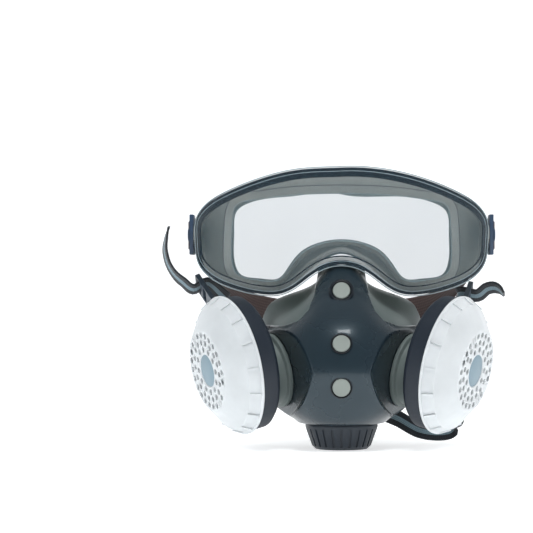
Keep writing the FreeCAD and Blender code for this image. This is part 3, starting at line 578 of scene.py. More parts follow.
def make_studs():
    heads = stud_heads()
    lift = Matrix.Translation((0, 0, COLLAR_LIFT * MM))
    heads[0] = heads[0] @ Matrix.Rotation(COLLAR_TURN, 4, "X") @ lift
    faces = [turned_mesh("stud", STUD_PROFILE, head, 64) for head in heads]
    studs = add_object("locking_studs_turned", joined("locking_studs_turned", faces))
    finish_piece(shade(studs), STUD_GREY, "locking_studs")
    rings = [turned_mesh("groove", GROOVE_PROFILE, head, 64) for head in heads[1:]]
    rings.append(turned_mesh("collar", COLLAR_PROFILE, heads[0], 64))
    grooves = add_object("stud_grooves", joined("stud_grooves", rings))
    grooves.data.materials.append(RING_GLOSS)
    shade(grooves, 50.0)
    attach(grooves, BODY_OF["outer_shell"])
    return heads


RING_GLOSS = grained_plastic("stud_ring_dark", "11171e", 0.16, 0.3, grain=500.0, depth=0.00002)
HEADS = make_studs()
print("studs at", [round(head.translation.z / MM, 1) for head in HEADS], "mm")

# %% [markdown]
# ## Ports and valves
# The ports, their rings and the valves are turned parts. The CAD shapes are right, so they only
# need rounded edges and their own finishes.

# %% Ports, seals and valves
for side in SIDES:
    moulded(f"{side}_port_connector", PORT_GREY, edge=0.25)
    moulded(f"{side}_port_seal", RING_BLACK, edge=0.5)
    moulded(f"{side}_inhale_flap", FLAP, edge=0.15)
moulded("exhale_valve_seat", PORT_GREY, edge=0.25)
moulded("exhale_valve_flap", FLAP, edge=0.15)
moulded("exhale_valve_cover", CAP_DARK, edge=0.35)


# %% [markdown]
# ## The filters
# Each filter is a dark cup with a frosted cover. The cover is turned from a profile, and
# Geometry Nodes then make what repeats on it: three staggered rings of holes cut with a Boolean,
# and the grip ribs round its band.


# %% A frame on each filter's own axis
def filter_frame(side):
    joint = JOINTS[f"{side}_cover_twist"]
    return frame_on(Vector(joint["pos_m"]), Vector(joint["axis"]))


def reach_along(node, matrix):
    """Lowest and highest height, and the widest radius, of a part seen in a frame, in mm."""
    inverse = matrix.inverted()
    spots = [inverse @ vertex.co for vertex in NODES[node].data.vertices]
    heights = [spot.z / MM for spot in spots]
    return min(heights), max(heights), max(spot.xy.length for spot in spots) / MM


# %% A geometry tree with named sizes
def geometry_tree(name, sizes):
    """A new geometry tree, its Graph, and a Value for each named input."""
    tree = bpy.data.node_groups.new(name, "GeometryNodeTree")
    tree.interface.new_socket("Geometry", in_out="OUTPUT", socket_type="NodeSocketGeometry")
    tree.interface.new_socket("Geometry", in_out="INPUT", socket_type="NodeSocketGeometry")
    kinds = {int: "NodeSocketInt", float: "NodeSocketFloat"}
    for title, default in sizes.items():
        socket = tree.interface.new_socket(title, in_out="INPUT", socket_type=kinds[type(default)])
        socket.default_value = default
    tree.interface.new_socket("Material", in_out="INPUT", socket_type="NodeSocketMaterial")
    graph = Graph(tree)
    entry = tree.nodes.new("NodeGroupInput")
    values = {socket.name: Value(graph, socket) for socket in entry.outputs if socket.name}
    return tree, graph, values


def close_tree(tree, graph, values, geometry):
    """Realizes, paints and returns the geometry."""
    real = graph.node("GeometryNodeRealizeInstances", {}, [geometry])
    painted = graph.node(
        "GeometryNodeSetMaterial", {}, {"Geometry": real, "Material": values["Material"]}
    )
    leave = tree.nodes.new("NodeGroupOutput")
    tree.links.new(painted.socket, leave.inputs[0])


def run_tree(obj, tree, material, sizes):
    """Runs a tree on an object and bakes the result into its mesh."""
    rule = obj.modifiers.new(tree.name, "NODES")
    rule.node_group = tree
    for item in tree.interface.items_tree:
        if item.in_out == "INPUT" and item.name in sizes:
            rule[item.identifier] = sizes[item.name]
        if item.in_out == "INPUT" and item.name == "Material":
            rule[item.identifier] = material
    return apply_modifiers(obj)


# %% The tree that drills and ribs a cover
def turned_by_index(graph, count, offset=0.0):
    """A rotation about Z that steps once round for count points."""
    index = graph.node("GeometryNodeInputIndex")
    angle = (index + offset) * (2 * math.pi) / count
    spin = graph.node("ShaderNodeCombineXYZ", {}, {"Z": angle})
    return graph.node("FunctionNodeEulerToRotation", {}, [spin])


DRILL_LENGTH = 0.008
RIB_SIZE = (0.0014, 0.0011, 0.0066)
RING_STAGGER = 0.26


def cover_tree():
    sizes = {
        "Face height": 0.044, "Hole radius": 0.0018, "First ring": 0.0126, "Ring step": 0.0043,
        "First count": 12, "Count step": 6, "Rib radius": 0.0395, "Rib height": 0.0317,
        "Rib count": 16, "Rib tilt": 0.45,
    }
    tree, g, v = geometry_tree("drill_and_rib", sizes)
    drill = g.node(
        "GeometryNodeMeshCylinder", {},
        {"Vertices": 18, "Radius": v["Hole radius"], "Depth": DRILL_LENGTH},
    )
    rings = tree.nodes.new("GeometryNodeJoinGeometry")
    for ring in range(3):
        circle = g.node(
            "GeometryNodeMeshCircle", {},
            {"Vertices": v["First count"] + v["Count step"] * ring,
             "Radius": v["First ring"] + v["Ring step"] * ring},
        )
        lift = g.node("ShaderNodeCombineXYZ", {}, {"Z": v["Face height"]})
        stagger = g.node("ShaderNodeCombineXYZ", {}, {"Z": RING_STAGGER * ring})
        placed = g.node(
            "GeometryNodeTransform", {},
            {"Geometry": circle, "Translation": lift, "Rotation": stagger},
        )
        drills = g.node(
            "GeometryNodeInstanceOnPoints", {}, {"Points": placed, "Instance": drill}
        )
        tree.links.new(drills.socket, rings.inputs[0])
    tools = g.node("GeometryNodeRealizeInstances", {}, [Value(g, rings.outputs[0])])
    drilled = g.node(
        "GeometryNodeMeshBoolean", {"operation": "DIFFERENCE"},
        {"Mesh 1": v["Geometry"], "Mesh 2": tools},
    )
    bar = g.node("GeometryNodeMeshCube", {}, {"Size": RIB_SIZE})
    lean = g.node("ShaderNodeCombineXYZ", {}, {"Y": v["Rib tilt"] * -1.0})
    rib = g.node("GeometryNodeTransform", {}, {"Geometry": bar, "Rotation": lean})
    stations = g.node(
        "GeometryNodeMeshCircle", {}, {"Vertices": v["Rib count"], "Radius": v["Rib radius"]}
    )
    rise = g.node("ShaderNodeCombineXYZ", {}, {"Z": v["Rib height"]})
    raised = g.node("GeometryNodeTransform", {}, {"Geometry": stations, "Translation": rise})
    ribs = g.node(
        "GeometryNodeInstanceOnPoints", {},
        {"Points": raised, "Instance": rib, "Rotation": turned_by_index(g, v["Rib count"])},
    )
    whole = tree.nodes.new("GeometryNodeJoinGeometry")
    tree.links.new(drilled.socket, whole.inputs[0])
    tree.links.new(ribs.socket, whole.inputs[0])
    close_tree(tree, g, v, Value(g, whole.outputs[0]))
    return tree


# %% Turn, drill and rib the two covers
COVER_WALL = 1.5
PLUG_RADIUS = 9.5
FACE_RADIUS = 24.5
BAND_SLOPE = math.atan2(3.1, 6.0)


def cover_profile(back, front, radius):
    """Half section of a cover as (radius, height): rim lip, grip band, cone and flat face."""
    wide = radius - 1.3
    return [
        (PLUG_RADIUS, front - 0.5), (PLUG_RADIUS + 0.5, front), (FACE_RADIUS - 0.6, front),
        (FACE_RADIUS + 0.4, front - 0.35), (wide - 3.6, back + 8.0), (wide - 2.9, back + 7.7),
        (wide + 0.2, back + 1.7), (wide + 0.9, back + 1.6), (wide + 1.25, back + 1.3),
        (wide + 1.25, back + 0.3), (wide + 0.9, back), (wide - 1.4, back),
        (wide - 1.4, back + 1.6), (wide - 4.5, back + 7.2),
        (FACE_RADIUS - 0.6, front - COVER_WALL), (PLUG_RADIUS, front - COVER_WALL),
    ]


def make_covers():
    frost = frosted_cover()
    tree = cover_tree()
    for side in SIDES:
        node = f"{side}_filter_cover"
        place = filter_frame(side)
        back, front, radius = reach_along(node, place)
        mesh = turned_mesh(node, cover_profile(back, front, radius), Matrix.Identity(4), 128)
        cover = add_object(f"{side}_cover_drilled", mesh)
        sizes = {
            "Face height": (front - COVER_WALL / 2) * MM, "Rib radius": (radius - 2.5) * MM,
            "Rib height": (back + 4.7) * MM, "Rib tilt": BAND_SLOPE,
        }
        run_tree(cover, tree, frost, sizes)
        cover.data.transform(place)
        finish_piece(shade(cover, 30.0), frost, node)
        print(node, "front at", round(front, 2), "mm,", len(cover.data.polygons), "faces")


make_covers()


# %% [markdown]
# ### Cups, grids, felts and plugs
# Behind the cover lie a felt of cotton and one of carbon on a perforated grid. The felts are
# soft pads: a disc whose top swells and whose edge rolls, with a lumpy surface.


# %% Felt pads
PAD_EDGE = 0.86
PAD_PINCH = 0.9
LUMP_HEIGHT = 0.10


def pad_mesh(name, matrix, low, high, radius, crown, rings=26, segments=84):
    """A crowned disc of felt between two heights, in millimetres."""
    work = bmesh.new()
    half = (high - low) / 2
    middle = (high + low) / 2
    layers = []
    for sign in (1, -1):
        layer = []
        for ring in range(1, rings + 1):
            share = ring / rings
            swell = 1.0 - PAD_PINCH * max(0.0, (share - PAD_EDGE) / 0.14) ** 2
            row = []
            for step in range(segments):
                turn = 2 * math.pi * step / segments
                waves = math.sin(7 * turn + 9 * share), math.sin(13 * share + 2 * turn)
                lump = LUMP_HEIGHT * waves[0] * waves[1]
                height = middle + sign * (half - crown * share**2) * swell + lump
                spread = radius * share
                spot = Vector((spread * math.cos(turn), spread * math.sin(turn), height)) * MM
                row.append(work.verts.new(matrix @ spot))
            layer.append(row)
        pole = work.verts.new(matrix @ Vector((0, 0, (middle + sign * half) * MM)))
        for step in range(segments):
            work.faces.new([pole, layer[0][step], layer[0][(step + 1) % segments]])
        for near, far in zip(layer, layer[1:]):
            for i, k in round_pairs(segments):
                work.faces.new([near[i], far[i], far[k], near[k]])
        layers.append(layer[-1])
    top, bottom = layers
    for i, k in round_pairs(segments):
        work.faces.new([top[i], bottom[i], bottom[k], top[k]])
    return mesh_of(work, name)


def make_filter_insides():
    cotton = felt("felt_cotton", "e9e9e2", 0.82, 1.0)
    carbon = felt("felt_carbon", "1b1c1f", 0.5, 1.6)
    plug_grey = grained_plastic("plug_blue_grey", "7b929e", 0.35, 0.5, grain=700.0)
    for side in SIDES:
        moulded(f"{side}_filter_base", CUP_DARK, edge=0.35)
        moulded(f"{side}_filter_grid", CUP_DARK, edge=0.2)
        moulded(f"{side}_cover_plug", plug_grey, edge=0.25)
        place = filter_frame(side)
        for layer, material, crown, fill in (
            ("cotton_pad", cotton, 0.5, 0.5), ("carbon_pad", carbon, 0.2, 0.7),
        ):
            node = f"{side}_{layer}"
            low, high, radius = reach_along(node, place)
            mesh = pad_mesh(node, place, low + 0.12, high - 0.12, radius - 0.1, crown)
            pad = add_object(f"{node}_felt", mesh)
            finish_piece(shade(pad, 60.0), material, node)


make_filter_insides()

# %% [markdown]
# ## The goggles
# One wrap-around lens lies on a dark rim. Behind it the smoky walls run back to a flange round
# the window, and a soft seal lies on the flange.

# %% Goggle parts
LENS = clear_lens()
SMOKE = smoke_frame()
moulded("goggle_frame", SMOKE, edge=0.35, crease=30.0)
soft_moulded("goggle_seal", soft_rubber("seal_rubber", "8a9593", 0.4), voxel=0.7, passes=5)
for side in SIDES:
    moulded(f"{side}_strap_bracket", BRACKET_BLUE, edge=0.5)
    moulded(f"{side}_bracket_pin", BRACKET_BLUE, edge=0.4)
moulded("headband_slider", BUCKLE_DARK, edge=0.5)

# %% [markdown]
# ### Rim and window lines
# On the real goggles a black rim shows through the edge of the lens. A pale gloss line painted
# outside it stands for the highlight on the lens edge, and a thin pale line on the rim is a
# painted glint.
# A plate on the flange gives the window a clean edge, and a pale bead runs round it.
# Each is a thin ring that follows an edge or a surface measured on the CAD mesh, so it can't
# drift away from it.


# %% Rings that follow an edge
LENS_REACH = 112.0 * MM
LENS_AXIS = Vector(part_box("goggle_lens")[0]).y + LENS_REACH


def lens_edge():
    """The front edge of the lens as points (arc length, height) on its own cylinder, in order."""
    mesh = merged_copy("goggle_lens", "lens_measured")
    work = bmesh.new()
    work.from_mesh(mesh)
    bpy.data.meshes.remove(mesh)

    def in_front(face):
        spot = face.calc_center_median()
        out = Vector((spot.x, spot.y - LENS_AXIS, 0)).normalized()
        return face.normal.dot(out) > 0.9

    near = {}
    for edge in work.edges:
        sides = [in_front(face) for face in edge.link_faces]
        if len(sides) == 2 and sides[0] != sides[1]:
            for vertex in edge.verts:
                near.setdefault(vertex, []).append(edge.other_vert(vertex))
    start = max(near, key=lambda vertex: vertex.co.z)
    chain, before = [start], None
    while True:
        ahead = [vertex for vertex in near[chain[-1]] if vertex is not before]
        before = chain[-1]
        if not ahead or ahead[0] is start:
            break
        chain.append(ahead[0])
    flat = []
    for vertex in chain:
        turn = math.atan2(vertex.co.x, LENS_AXIS - vertex.co.y)
        flat.append(Vector((turn * LENS_REACH, vertex.co.z)))
    work.free()
    return even_loop(flat, 1.6 * MM)


def even_loop(points, step):
    """A closed line resampled at even steps."""
    ends = points[1:] + points[:1]
    lengths = [(b - a).length for a, b in zip(points, ends)]
    whole = sum(lengths)
    count = round(whole / step)
    loop, i, run = [], 0, 0.0
    for k in range(count):
        goal = whole * k / count
        while run + lengths[i] < goal:
            run += lengths[i]
            i += 1
        loop.append(points[i].lerp(ends[i], (goal - run) / max(lengths[i], 1e-9)))
    return loop


def inset_loop(loop, inset):
    """The loop moved inwards by inset metres, then evened out once."""
    count = len(loop)
    middle = sum(loop, Vector((0, 0))) / count
    around = sum(
        (a.x - middle.x) * (b.y - middle.y) - (b.x - middle.x) * (a.y - middle.y)
        for a, b in zip(loop, loop[1:] + loop[:1])
    )
    turn = 1.0 if around > 0 else -1.0
    moved = []
    for i, spot in enumerate(loop):
        along = (loop[(i + 2) % count] - loop[i - 2]).normalized()
        moved.append(spot + Vector((-along.y, along.x)) * turn * inset)
    return [(moved[i - 1] + 2 * moved[i] + moved[(i + 1) % count]) / 4 for i in range(count)]


def on_lens(flat, reach):
    """A flat point laid on the lens's cylinder at a distance from its axis."""
    turn = flat.x / LENS_REACH
    return Vector((reach * math.sin(turn), LENS_AXIS - reach * math.cos(turn), flat.y))


def ring_mesh(name, corners):
    """A closed ring from rows of corners, one row of each length per station."""
    work = bmesh.new()
    rows = [[work.verts.new(spot) for spot in row] for row in corners]
    for near, far in zip(rows, rows[1:] + rows[:1]):
        for i, k in round_pairs(len(near)):
            work.faces.new([near[i], near[k], far[k], far[i]])
    return mesh_of(work, name)


def goggle_ring(name, corners, material):
    """A ring that rides on the goggles beside their CAD parts."""
    ring = shade(add_object(name, ring_mesh(name, corners)), 40.0)
    ring.data.materials.append(material)
    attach(ring, BODY_OF["goggle_frame"])
    return ring


def lens_band(name, loop, outer, inner, low_inner, sunk, deep, material):
    """A band between two insets from the lens edge, sunk into the lens and deep thick, in mm.

    low_inner is the inner inset along the bottom, where it differs from the top and the sides.
    """
    reach, deep = LENS_REACH - sunk * MM, deep * MM
    outside, inside = inset_loop(loop, outer * MM), inset_loop(loop, inner * MM)
    if low_inner is not None:
        low_line = inset_loop(loop, low_inner * MM)
        share = [min(1.0, max(0.0, (p.y - BAND_LOW) / (BAND_HIGH - BAND_LOW))) for p in loop]
        inside = [a.lerp(b, k) for a, b, k in zip(low_line, inside, share)]
    corners = [
        [on_lens(a, reach), on_lens(b, reach), on_lens(b, reach - deep), on_lens(a, reach - deep)]
        for a, b in zip(outside, inside)
    ]
    return goggle_ring(name, corners, material)


BAND_LOW, BAND_HIGH = 104.0 * MM, 122.0 * MM
# Each band's outer, inner and low inner inset, how far it is sunk, and its thickness, in mm.
RIM_BLACK = (0.8, 6.3, 2.4, 0.6, 0.7)
RIM_INNER_LINE = (5.3, 6.1, None, 0.7, 0.7)
# The glint line is a painted highlight on the black rim.
RIM_GLINT_LINE = (2.7, 3.0, None, 0.45, 0.3)
# The pale line is a painted highlight along the lens edge.
RIM_PAINTED_HIGHLIGHT = (-0.2, 0.25, None, 0.6, 0.9)


def round_bead(name, line, radius, material):
    """A thin round bead along a closed line."""
    corners = []
    for i, spot in enumerate(line):
        ahead = (line[(i + 1) % len(line)] - line[i - 1]).normalized()
        side = ahead.cross(Vector((0, 1, 0))).normalized()
        top = side.cross(ahead)
        turns = [2 * math.pi * k / 8 for k in range(8)]
        corners.append([spot + (side * math.cos(t) + top * math.sin(t)) * radius for t in turns])
    return goggle_ring(name, corners, material)


# %% Lay the rings
WINDOW_OUTLINE = [
    (0.0, 152.7), (30.9, 151.9), (57.0, 149.0), (62.5, 147.7), (65.6, 145.6), (66.6, 141.0),
    (67.4, 130.0), (67.6, 112.0),
    (64.0, 103.0), (50.0, 99.6), (38.0, 99.8), (31.5, 107.0), (23.5, 116.5), (12.0, 121.8),
    (0.0, 123.4),
]


def window_loop():
    """The window's edge seen from the front, closed and smooth."""
    half = [Vector(spot) * MM for spot in WINDOW_OUTLINE]
    whole = half + [Vector((-spot.x, spot.y)) for spot in reversed(half[1:-1])]
    count = len(whole)
    line = []
    for i in range(count):
        four = [whole[(i + k) % count] for k in (-1, 0, 1, 2)]
        line += [catmull(four, share / 12) for share in range(12)]
    return even_loop(line, 1.4 * MM)


def window_plate(outside, inside, material):
    """A thin plate round the window, from the flange in to the clear opening."""
    corners = []
    for far, near in zip(outside, inside):
        tip = near + (near - far) * PLATE_REACH
        front, back = Vector((0, -0.5 * MM, 0)), Vector((0, 0.3 * MM, 0))
        corners.append([far + front, tip + front, tip + back, far + back])
    return goggle_ring("window_plate", corners, material)


PLATE_REACH = 1.0
PLATE_OUTER, PLATE_INNER = -4.8 * MM, -2.4 * MM
FLANGE_STEP = 0.8 * MM


def on_flange(loop):
    """The loop laid on the flange, found by looking back from the front of the goggles."""
    frame = NODES["goggle_frame"].data
    spots = [vertex.co.copy() for vertex in frame.vertices]
    skin = BVHTree.FromPolygons(spots, [tuple(face.vertices) for face in frame.polygons])
    line = []
    for spot in loop:
        hit, *_ = skin.ray_cast(Vector((spot.x, -0.1, spot.y)), Vector((0, 1, 0)))
        if line and (not hit or abs(hit.y - line[-1].y) > FLANGE_STEP):
            hit = Vector((spot.x, line[-1].y, spot.y))
        line.append(hit)
    count = len(line)
    for _ in range(3):
        line = [(line[i - 1] + 2 * line[i] + line[(i + 1) % count]) / 4 for i in range(count)]
    return line


def catmull(points, share):
    """A point on the smooth curve between the middle two of four points."""
    a, b, c, d = points
    square, cube = share * share, share**3
    bend = (2 * a - 5 * b + 4 * c - d) * square
    return 0.5 * (2 * b + (c - a) * share + bend + (3 * b - a - 3 * c + d) * cube)


# %% [markdown]
# ### The lens
# Long thin triangles show as streaks on a glossy curve. The lens is therefore filled with an even
# net of points inside its own edge, then wrapped on its cylinder. Its finish is a thin veil
# instead of glass, because glass would keep the lamps' light off the parts behind it.


# %% Fill the lens
LENS_THICK = 2.0 * MM
LENS_ROUNDING = 0.4 * MM
NET_STEP = 3.0 * MM
NET_MARGIN = 2.2 * MM


def is_inside(spot, loop):
    """Whether a flat point lies inside a closed flat line."""
    inside = False
    for a, b in zip(loop, loop[1:] + loop[:1]):
        if (a.y > spot.y) != (b.y > spot.y):
            if spot.x < a.x + (spot.y - a.y) * (b.x - a.x) / (b.y - a.y):
                inside = not inside
    return inside


def make_lens(edge):
    """Two nets of faces, one on each side of the lens, and a rounded edge between them."""
    rounded = inset_loop(edge, LENS_ROUNDING)
    fence = inset_loop(edge, NET_MARGIN)
    across, upward = [p.x for p in edge], [p.y for p in edge]
    columns, rows = (int((max(a) - min(a)) / NET_STEP) + 1 for a in (across, upward))
    net = []
    for i in range(columns):
        for j in range(rows):
            x, y = min(across) + (i + 0.5) * NET_STEP, min(upward) + (j + 0.5) * NET_STEP
            if is_inside(Vector((x, y)), fence):
                net.append(Vector((x, y)))
    count = len(rounded)
    spots, _, faces, *_ = delaunay_2d_cdt(rounded + net, round_pairs(count), [], 1, 1e-7)
    work = bmesh.new()
    front = [work.verts.new(on_lens(spot, LENS_REACH)) for spot in spots]
    back = [work.verts.new(on_lens(spot, LENS_REACH - LENS_THICK)) for spot in spots]
    reaches = (LENS_REACH - LENS_ROUNDING, LENS_REACH - LENS_THICK + LENS_ROUNDING)
    sides = [[work.verts.new(on_lens(spot, reach)) for spot in edge] for reach in reaches]
    for face in faces:
        work.faces.new([front[i] for i in face])
        work.faces.new([back[i] for i in reversed(face)])
    rows = [front[:count], *sides, back[:count]]
    for near, far in zip(rows, rows[1:]):
        for i, k in round_pairs(count):
            work.faces.new([near[i], near[k], far[k], far[i]])
    mesh = mesh_of(work, "goggle_lens_net")
    finish_piece(shade(add_object("goggle_lens_net", mesh), 30.0), LENS, "goggle_lens")
    print("lens net:", len(net), "points inside", count, "on its edge")


# %% Make the lens and lay the rings
def make_rings():
    rim_black = polished("rim_black_gloss", "0b1118")
    # Pale gloss that paints two highlights: a glint on the black rim and a line along the lens
    # edge.
    highlight_gloss = polished("painted_highlight_gloss", "aebdc2")
    bead_pale = grained_plastic("bead_pale", "a9b5b6", 0.25, 0.4, grain=500.0)
    edge = lens_edge()
    make_lens(edge)
    lens_band("rim_black", edge, *RIM_BLACK, rim_black)
    lens_band("rim_inner_line", edge, *RIM_INNER_LINE, rim_black)
    # A pale line painted on the black rim as a glint.
    lens_band("rim_glint_line", edge, *RIM_GLINT_LINE, highlight_gloss)
    lens_band("rim_painted_highlight", edge, *RIM_PAINTED_HIGHLIGHT, highlight_gloss)
    window = window_loop()
    outside = on_flange(inset_loop(window, PLATE_OUTER))
    inside = on_flange(inset_loop(window, PLATE_INNER))
    window_plate(outside, inside, SMOKE)
    edge_line = [near + (near - far) * PLATE_REACH for far, near in zip(outside, inside)]
    round_bead("window_bead", edge_line, 0.4 * MM, bead_pale)
    round_bead("flange_bead", outside, 0.28 * MM, rim_black)
    print("lens edge has", len(edge), "stations")


make_rings()


# %% [markdown]
# ## Straps
# A strap is a flat band swept along a smooth curve. Each station is a place on its middle line
# and the direction of its width, in millimetres, the same as in the CAD. A Catmull-Rom curve
# runs through them, and the section has rolled edges. Its UV map carries the weave.


# %% The stations of every strap
HEADBAND = [
    ((91.0, 68.6, 128.5), (0, 0, 1)), ((93.4, 69.05, 128.5), (0, 0, 1)),
    ((95.9, 70.0, 128.5), (0, 0, 1)), ((95.4, 75.5, 128.0), (0, 0.1, 1)),
    ((91.0, 82.0, 124.5), (0, 0.3, 0.9)), ((84.5, 87.5, 115.0), (0, 0.5, 0.8)),
    ((75.0, 92.0, 100.0), (0, 0.7, 0.7)), ((60.0, 95.5, 86.0), (0, 0.6, 0.8)),
    ((40.0, 98.5, 80.0), (0, 0.4, 0.9)), ((20.0, 100.0, 78.0), (0, 0.3, 0.95)),
    ((8.6, 100.2, 77.8), (0, 0.25, 0.97)),
]
BUCKLES = {
    "left": {"width": (0, -0.78, 0.62), "length": (-0.47, 0.5, 0.66)},
    "right": {"width": (0, -0.62, 0.78), "length": (0.25, 0.72, 0.58)},
}
SLOT_REACH = 20.5
TAILS = {
    "left": [
        ((-106.5, 44.0, 133.0), (0.10, -0.98, 0.20)), ((-108.2, 44.8, 126.0), (0.25, -0.95, 0.20)),
        ((-109.0, 46.0, 118.5), (0.30, -0.92, 0.25)), ((-107.3, 47.8, 110.5), (0.25, -0.90, 0.35)),
        ((-103.6, 49.8, 104.0), (0.10, -0.84, 0.52)), ((-98.5, 52.0, 99.0), (0, -0.78, 0.62)),
    ],
    "right": [
        ((101.0, 52.2, 91.2), (-0.10, -0.95, 0.25)), ((98.5, 53.3, 94.2), (0, -0.85, 0.50)),
        ((95.0, 54.8, 95.6), (0, -0.72, 0.68)), ((90.5, 56.5, 94.6), (0, -0.66, 0.74)),
    ],
}
BEHIND = [
    ((73.0, 66.0, 88.0), (0.3, -0.45, 0.85)), ((70.0, 71.5, 81.0), (0.5, 0.10, 0.85)),
    ((66.5, 76.5, 66.0), (0.6, 0.45, 0.66)), ((60.0, 82.0, 49.0), (0.6, 0.45, 0.66)),
    ((49.0, 87.5, 37.0), (0.4, 0.40, 0.80)), ((36.0, 91.5, 30.0), (0.1, 0.50, 0.85)),
    ((26.0, 95.0, 20.0), (0.1, 0.70, 0.70)), ((20.0, 98.0, 8.4), (0.1, 0.95, 0.20)),
    ((14.5, 99.0, 4.4), (0.0, 1.0, 0.0)), ((9.5, 99.0, 4.4), (0.0, 1.0, 0.0)),
]
NECK = {
    "right": [
        ((56.0, 46.0, 33.0), (0.1, 0.15, 1)), ((65.0, 44.5, 27.0), (0.5, 0.2, 0.8)),
        ((71.0, 42.0, 17.5), (0.7, 0.35, 0.6)), ((69.5, 40.5, 8.8), (0.4, 0.5, 0.75)),
        ((62.0, 40.0, 5.8), (0.1, 0.5, 0.85)), ((48.0, 42.5, 7.4), (-0.1, 0.45, 0.9)),
        ((34.0, 46.5, 14.8), (-0.3, 0.35, 0.9)), ((24.0, 52.0, 17.0), (-0.1, 0.3, 0.95)),
        ((18.0, 58.0, 10.5), (0, 0.2, 1)), ((15.2, 61.6, 7.1), (0, 0, 1)),
        ((11.7, 62.0, 6.8), (0, 0, 1)),
    ],
    "left": [
        ((-11.7, 62.0, 6.9), (0, 0, 1)), ((-15.2, 61.8, 7.1), (0, 0, 1)),
        ((-18.0, 59.5, 14.0), (-0.3, 0.1, 0.95)), ((-22.0, 57.0, 26.0), (-0.4, 0.15, 0.9)),
        ((-34.0, 54.5, 32.0), (-0.1, 0.2, 1)), ((-46.0, 51.0, 34.0), (0, 0.2, 1)),
        ((-56.0, 46.0, 33.0), (0, 0.15, 1)),
    ],
}


# %% Sweep a band along its stations
def flipped(stations):
    """The same stations on the other side of the middle plane."""
    return [((-p[0], p[1], p[2]), (-w[0], w[1], w[2])) for p, w in stations]


def smooth_route(stations, step=1.5):
    """(place, width direction) every step millimetres along the curve through the stations."""
    places = [Vector(place) for place, _ in stations]
    widths = [Vector(width).normalized() for _, width in stations]
    places = [2 * places[0] - places[1], *places, 2 * places[-1] - places[-2]]
    widths = [widths[0], *widths, widths[-1]]
    route = []
    for i in range(1, len(places) - 2):
        count = max(2, round((places[i + 1] - places[i]).length / step))
        for k in range(count):
            share = k / count
            four = slice(i - 1, i + 3)
            route.append((catmull(places[four], share), catmull(widths[four], share)))
    route.append((places[-2], widths[-2]))
    return route


def band_section(width, thick):
    """The strap's section as (across, through) points: flat faces and rolled edges."""
    half, roll = width / 2, thick / 2
    top = [(-half + roll + (width - thick) * k / 8, roll) for k in range(9)]
    edge = [(half - roll + roll * math.cos(a), roll * math.sin(a)) for a in (0.9, 0.0, -0.9)]
    bottom = [(-x, -y) for x, y in top]
    far_edge = [(-x, -y) for x, y in edge]
    return top + edge + bottom + far_edge


def band_mesh(name, stations, width, thick):
    route = smooth_route(stations)
    section = band_section(width, thick)
    work = bmesh.new()
    weave = work.loops.layers.uv.new("weave")
    rows = []
    run = [0.0]
    for i, (place, across) in enumerate(route):
        before, after = route[max(i - 1, 0)][0], route[min(i + 1, len(route) - 1)][0]
        ahead = (after - before).normalized()
        across = (across - ahead * across.dot(ahead)).normalized()
        through = ahead.cross(across)
        rows.append([work.verts.new((place + across * x + through * y) * MM) for x, y in section])
        if i:
            run.append(run[-1] + (place - route[i - 1][0]).length * MM)
    for i in range(len(rows) - 1):
        for j, k in round_pairs(len(section)):
            face = work.faces.new([rows[i][j], rows[i][k], rows[i + 1][k], rows[i + 1][j]])
            spots = [(run[i], j), (run[i], k), (run[i + 1], k), (run[i + 1], j)]
            for loop, (u, at) in zip(face.loops, spots):
                loop[weave].uv = (u, section[at][0] / width + 0.5)
    work.faces.new(rows[0])
    work.faces.new(rows[-1][::-1])
    return mesh_of(work, name), run[-1] / MM


# %% Make the straps; one that crosses a joint rides on no body
def buckle_frame(side):
    """X along the buckle's pin, Y up its plate. The origin is on the pin."""
    pin = Vector(JOINTS[f"{side}_buckle_swing"]["pos_m"])
    across = Vector(BUCKLES[side]["width"]).normalized()
    up = Vector(BUCKLES[side]["length"])
    up = (up - across * up.dot(across)).normalized()
    axes = Matrix((across, up, across.cross(up))).transposed().to_4x4()
    return Matrix.Translation(pin) @ axes


def through_slot(side):
    """Stations on each side of the buckle's upper slot, from outside in."""
    place = buckle_frame(side)
    width = tuple(place.to_3x3() @ Vector((1, 0, 0)))
    faces = [place @ (Vector((0, SLOT_REACH, reach)) * MM) for reach in (-5.0, 5.0)]
    faces.sort(key=lambda spot: -SIDES[side] * spot.x)
    return [(tuple(spot / MM), width) for spot in faces]


STRAP_WIDTH, BAND_WIDTH, STRAP_THICK = 10.0, 18.0, 1.4


STRAP_CREASE = 50.0


def lay_strap(name, node, stations, width, material, bend=None):
    """Makes one strap. If bend is given, the strap rides on no body; the bodies and places it
    names are not used.
    """
    mesh, length = band_mesh(name, stations, width, STRAP_THICK)
    band = shade(add_object(f"{name}_woven", mesh), STRAP_CREASE)
    finish_piece(band, material, node, rides=bend is None)
    if bend:
        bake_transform(band)
    print(node, round(length), "mm")


def make_straps():
    elastic = webbing("webbing_black", "1a2129", stripe="7d95a0")
    brown = webbing("webbing_brown", "4a3a38")
    for side, sign in SIDES.items():
        headband = HEADBAND if sign > 0 else flipped(HEADBAND)
        bend = (f"{side}_bracket", "goggles", headband[3][0], headband[7][0])
        lay_strap(f"{side}_headband", f"{side}_headband", headband, BAND_WIDTH, brown, bend)
        behind = BEHIND if sign > 0 else flipped(BEHIND)
        slot = through_slot(side)
        route = TAILS[side] + slot + behind
        bend = (f"{side}_buckle", "mask", slot[-1][0], behind[2][0])
        lay_strap(f"{side}_harness", f"{side}_harness_strap", route, STRAP_WIDTH, elastic, bend)
        lay_strap(f"{side}_neck", f"{side}_neck_strap", NECK[side], STRAP_WIDTH, elastic)


make_straps()

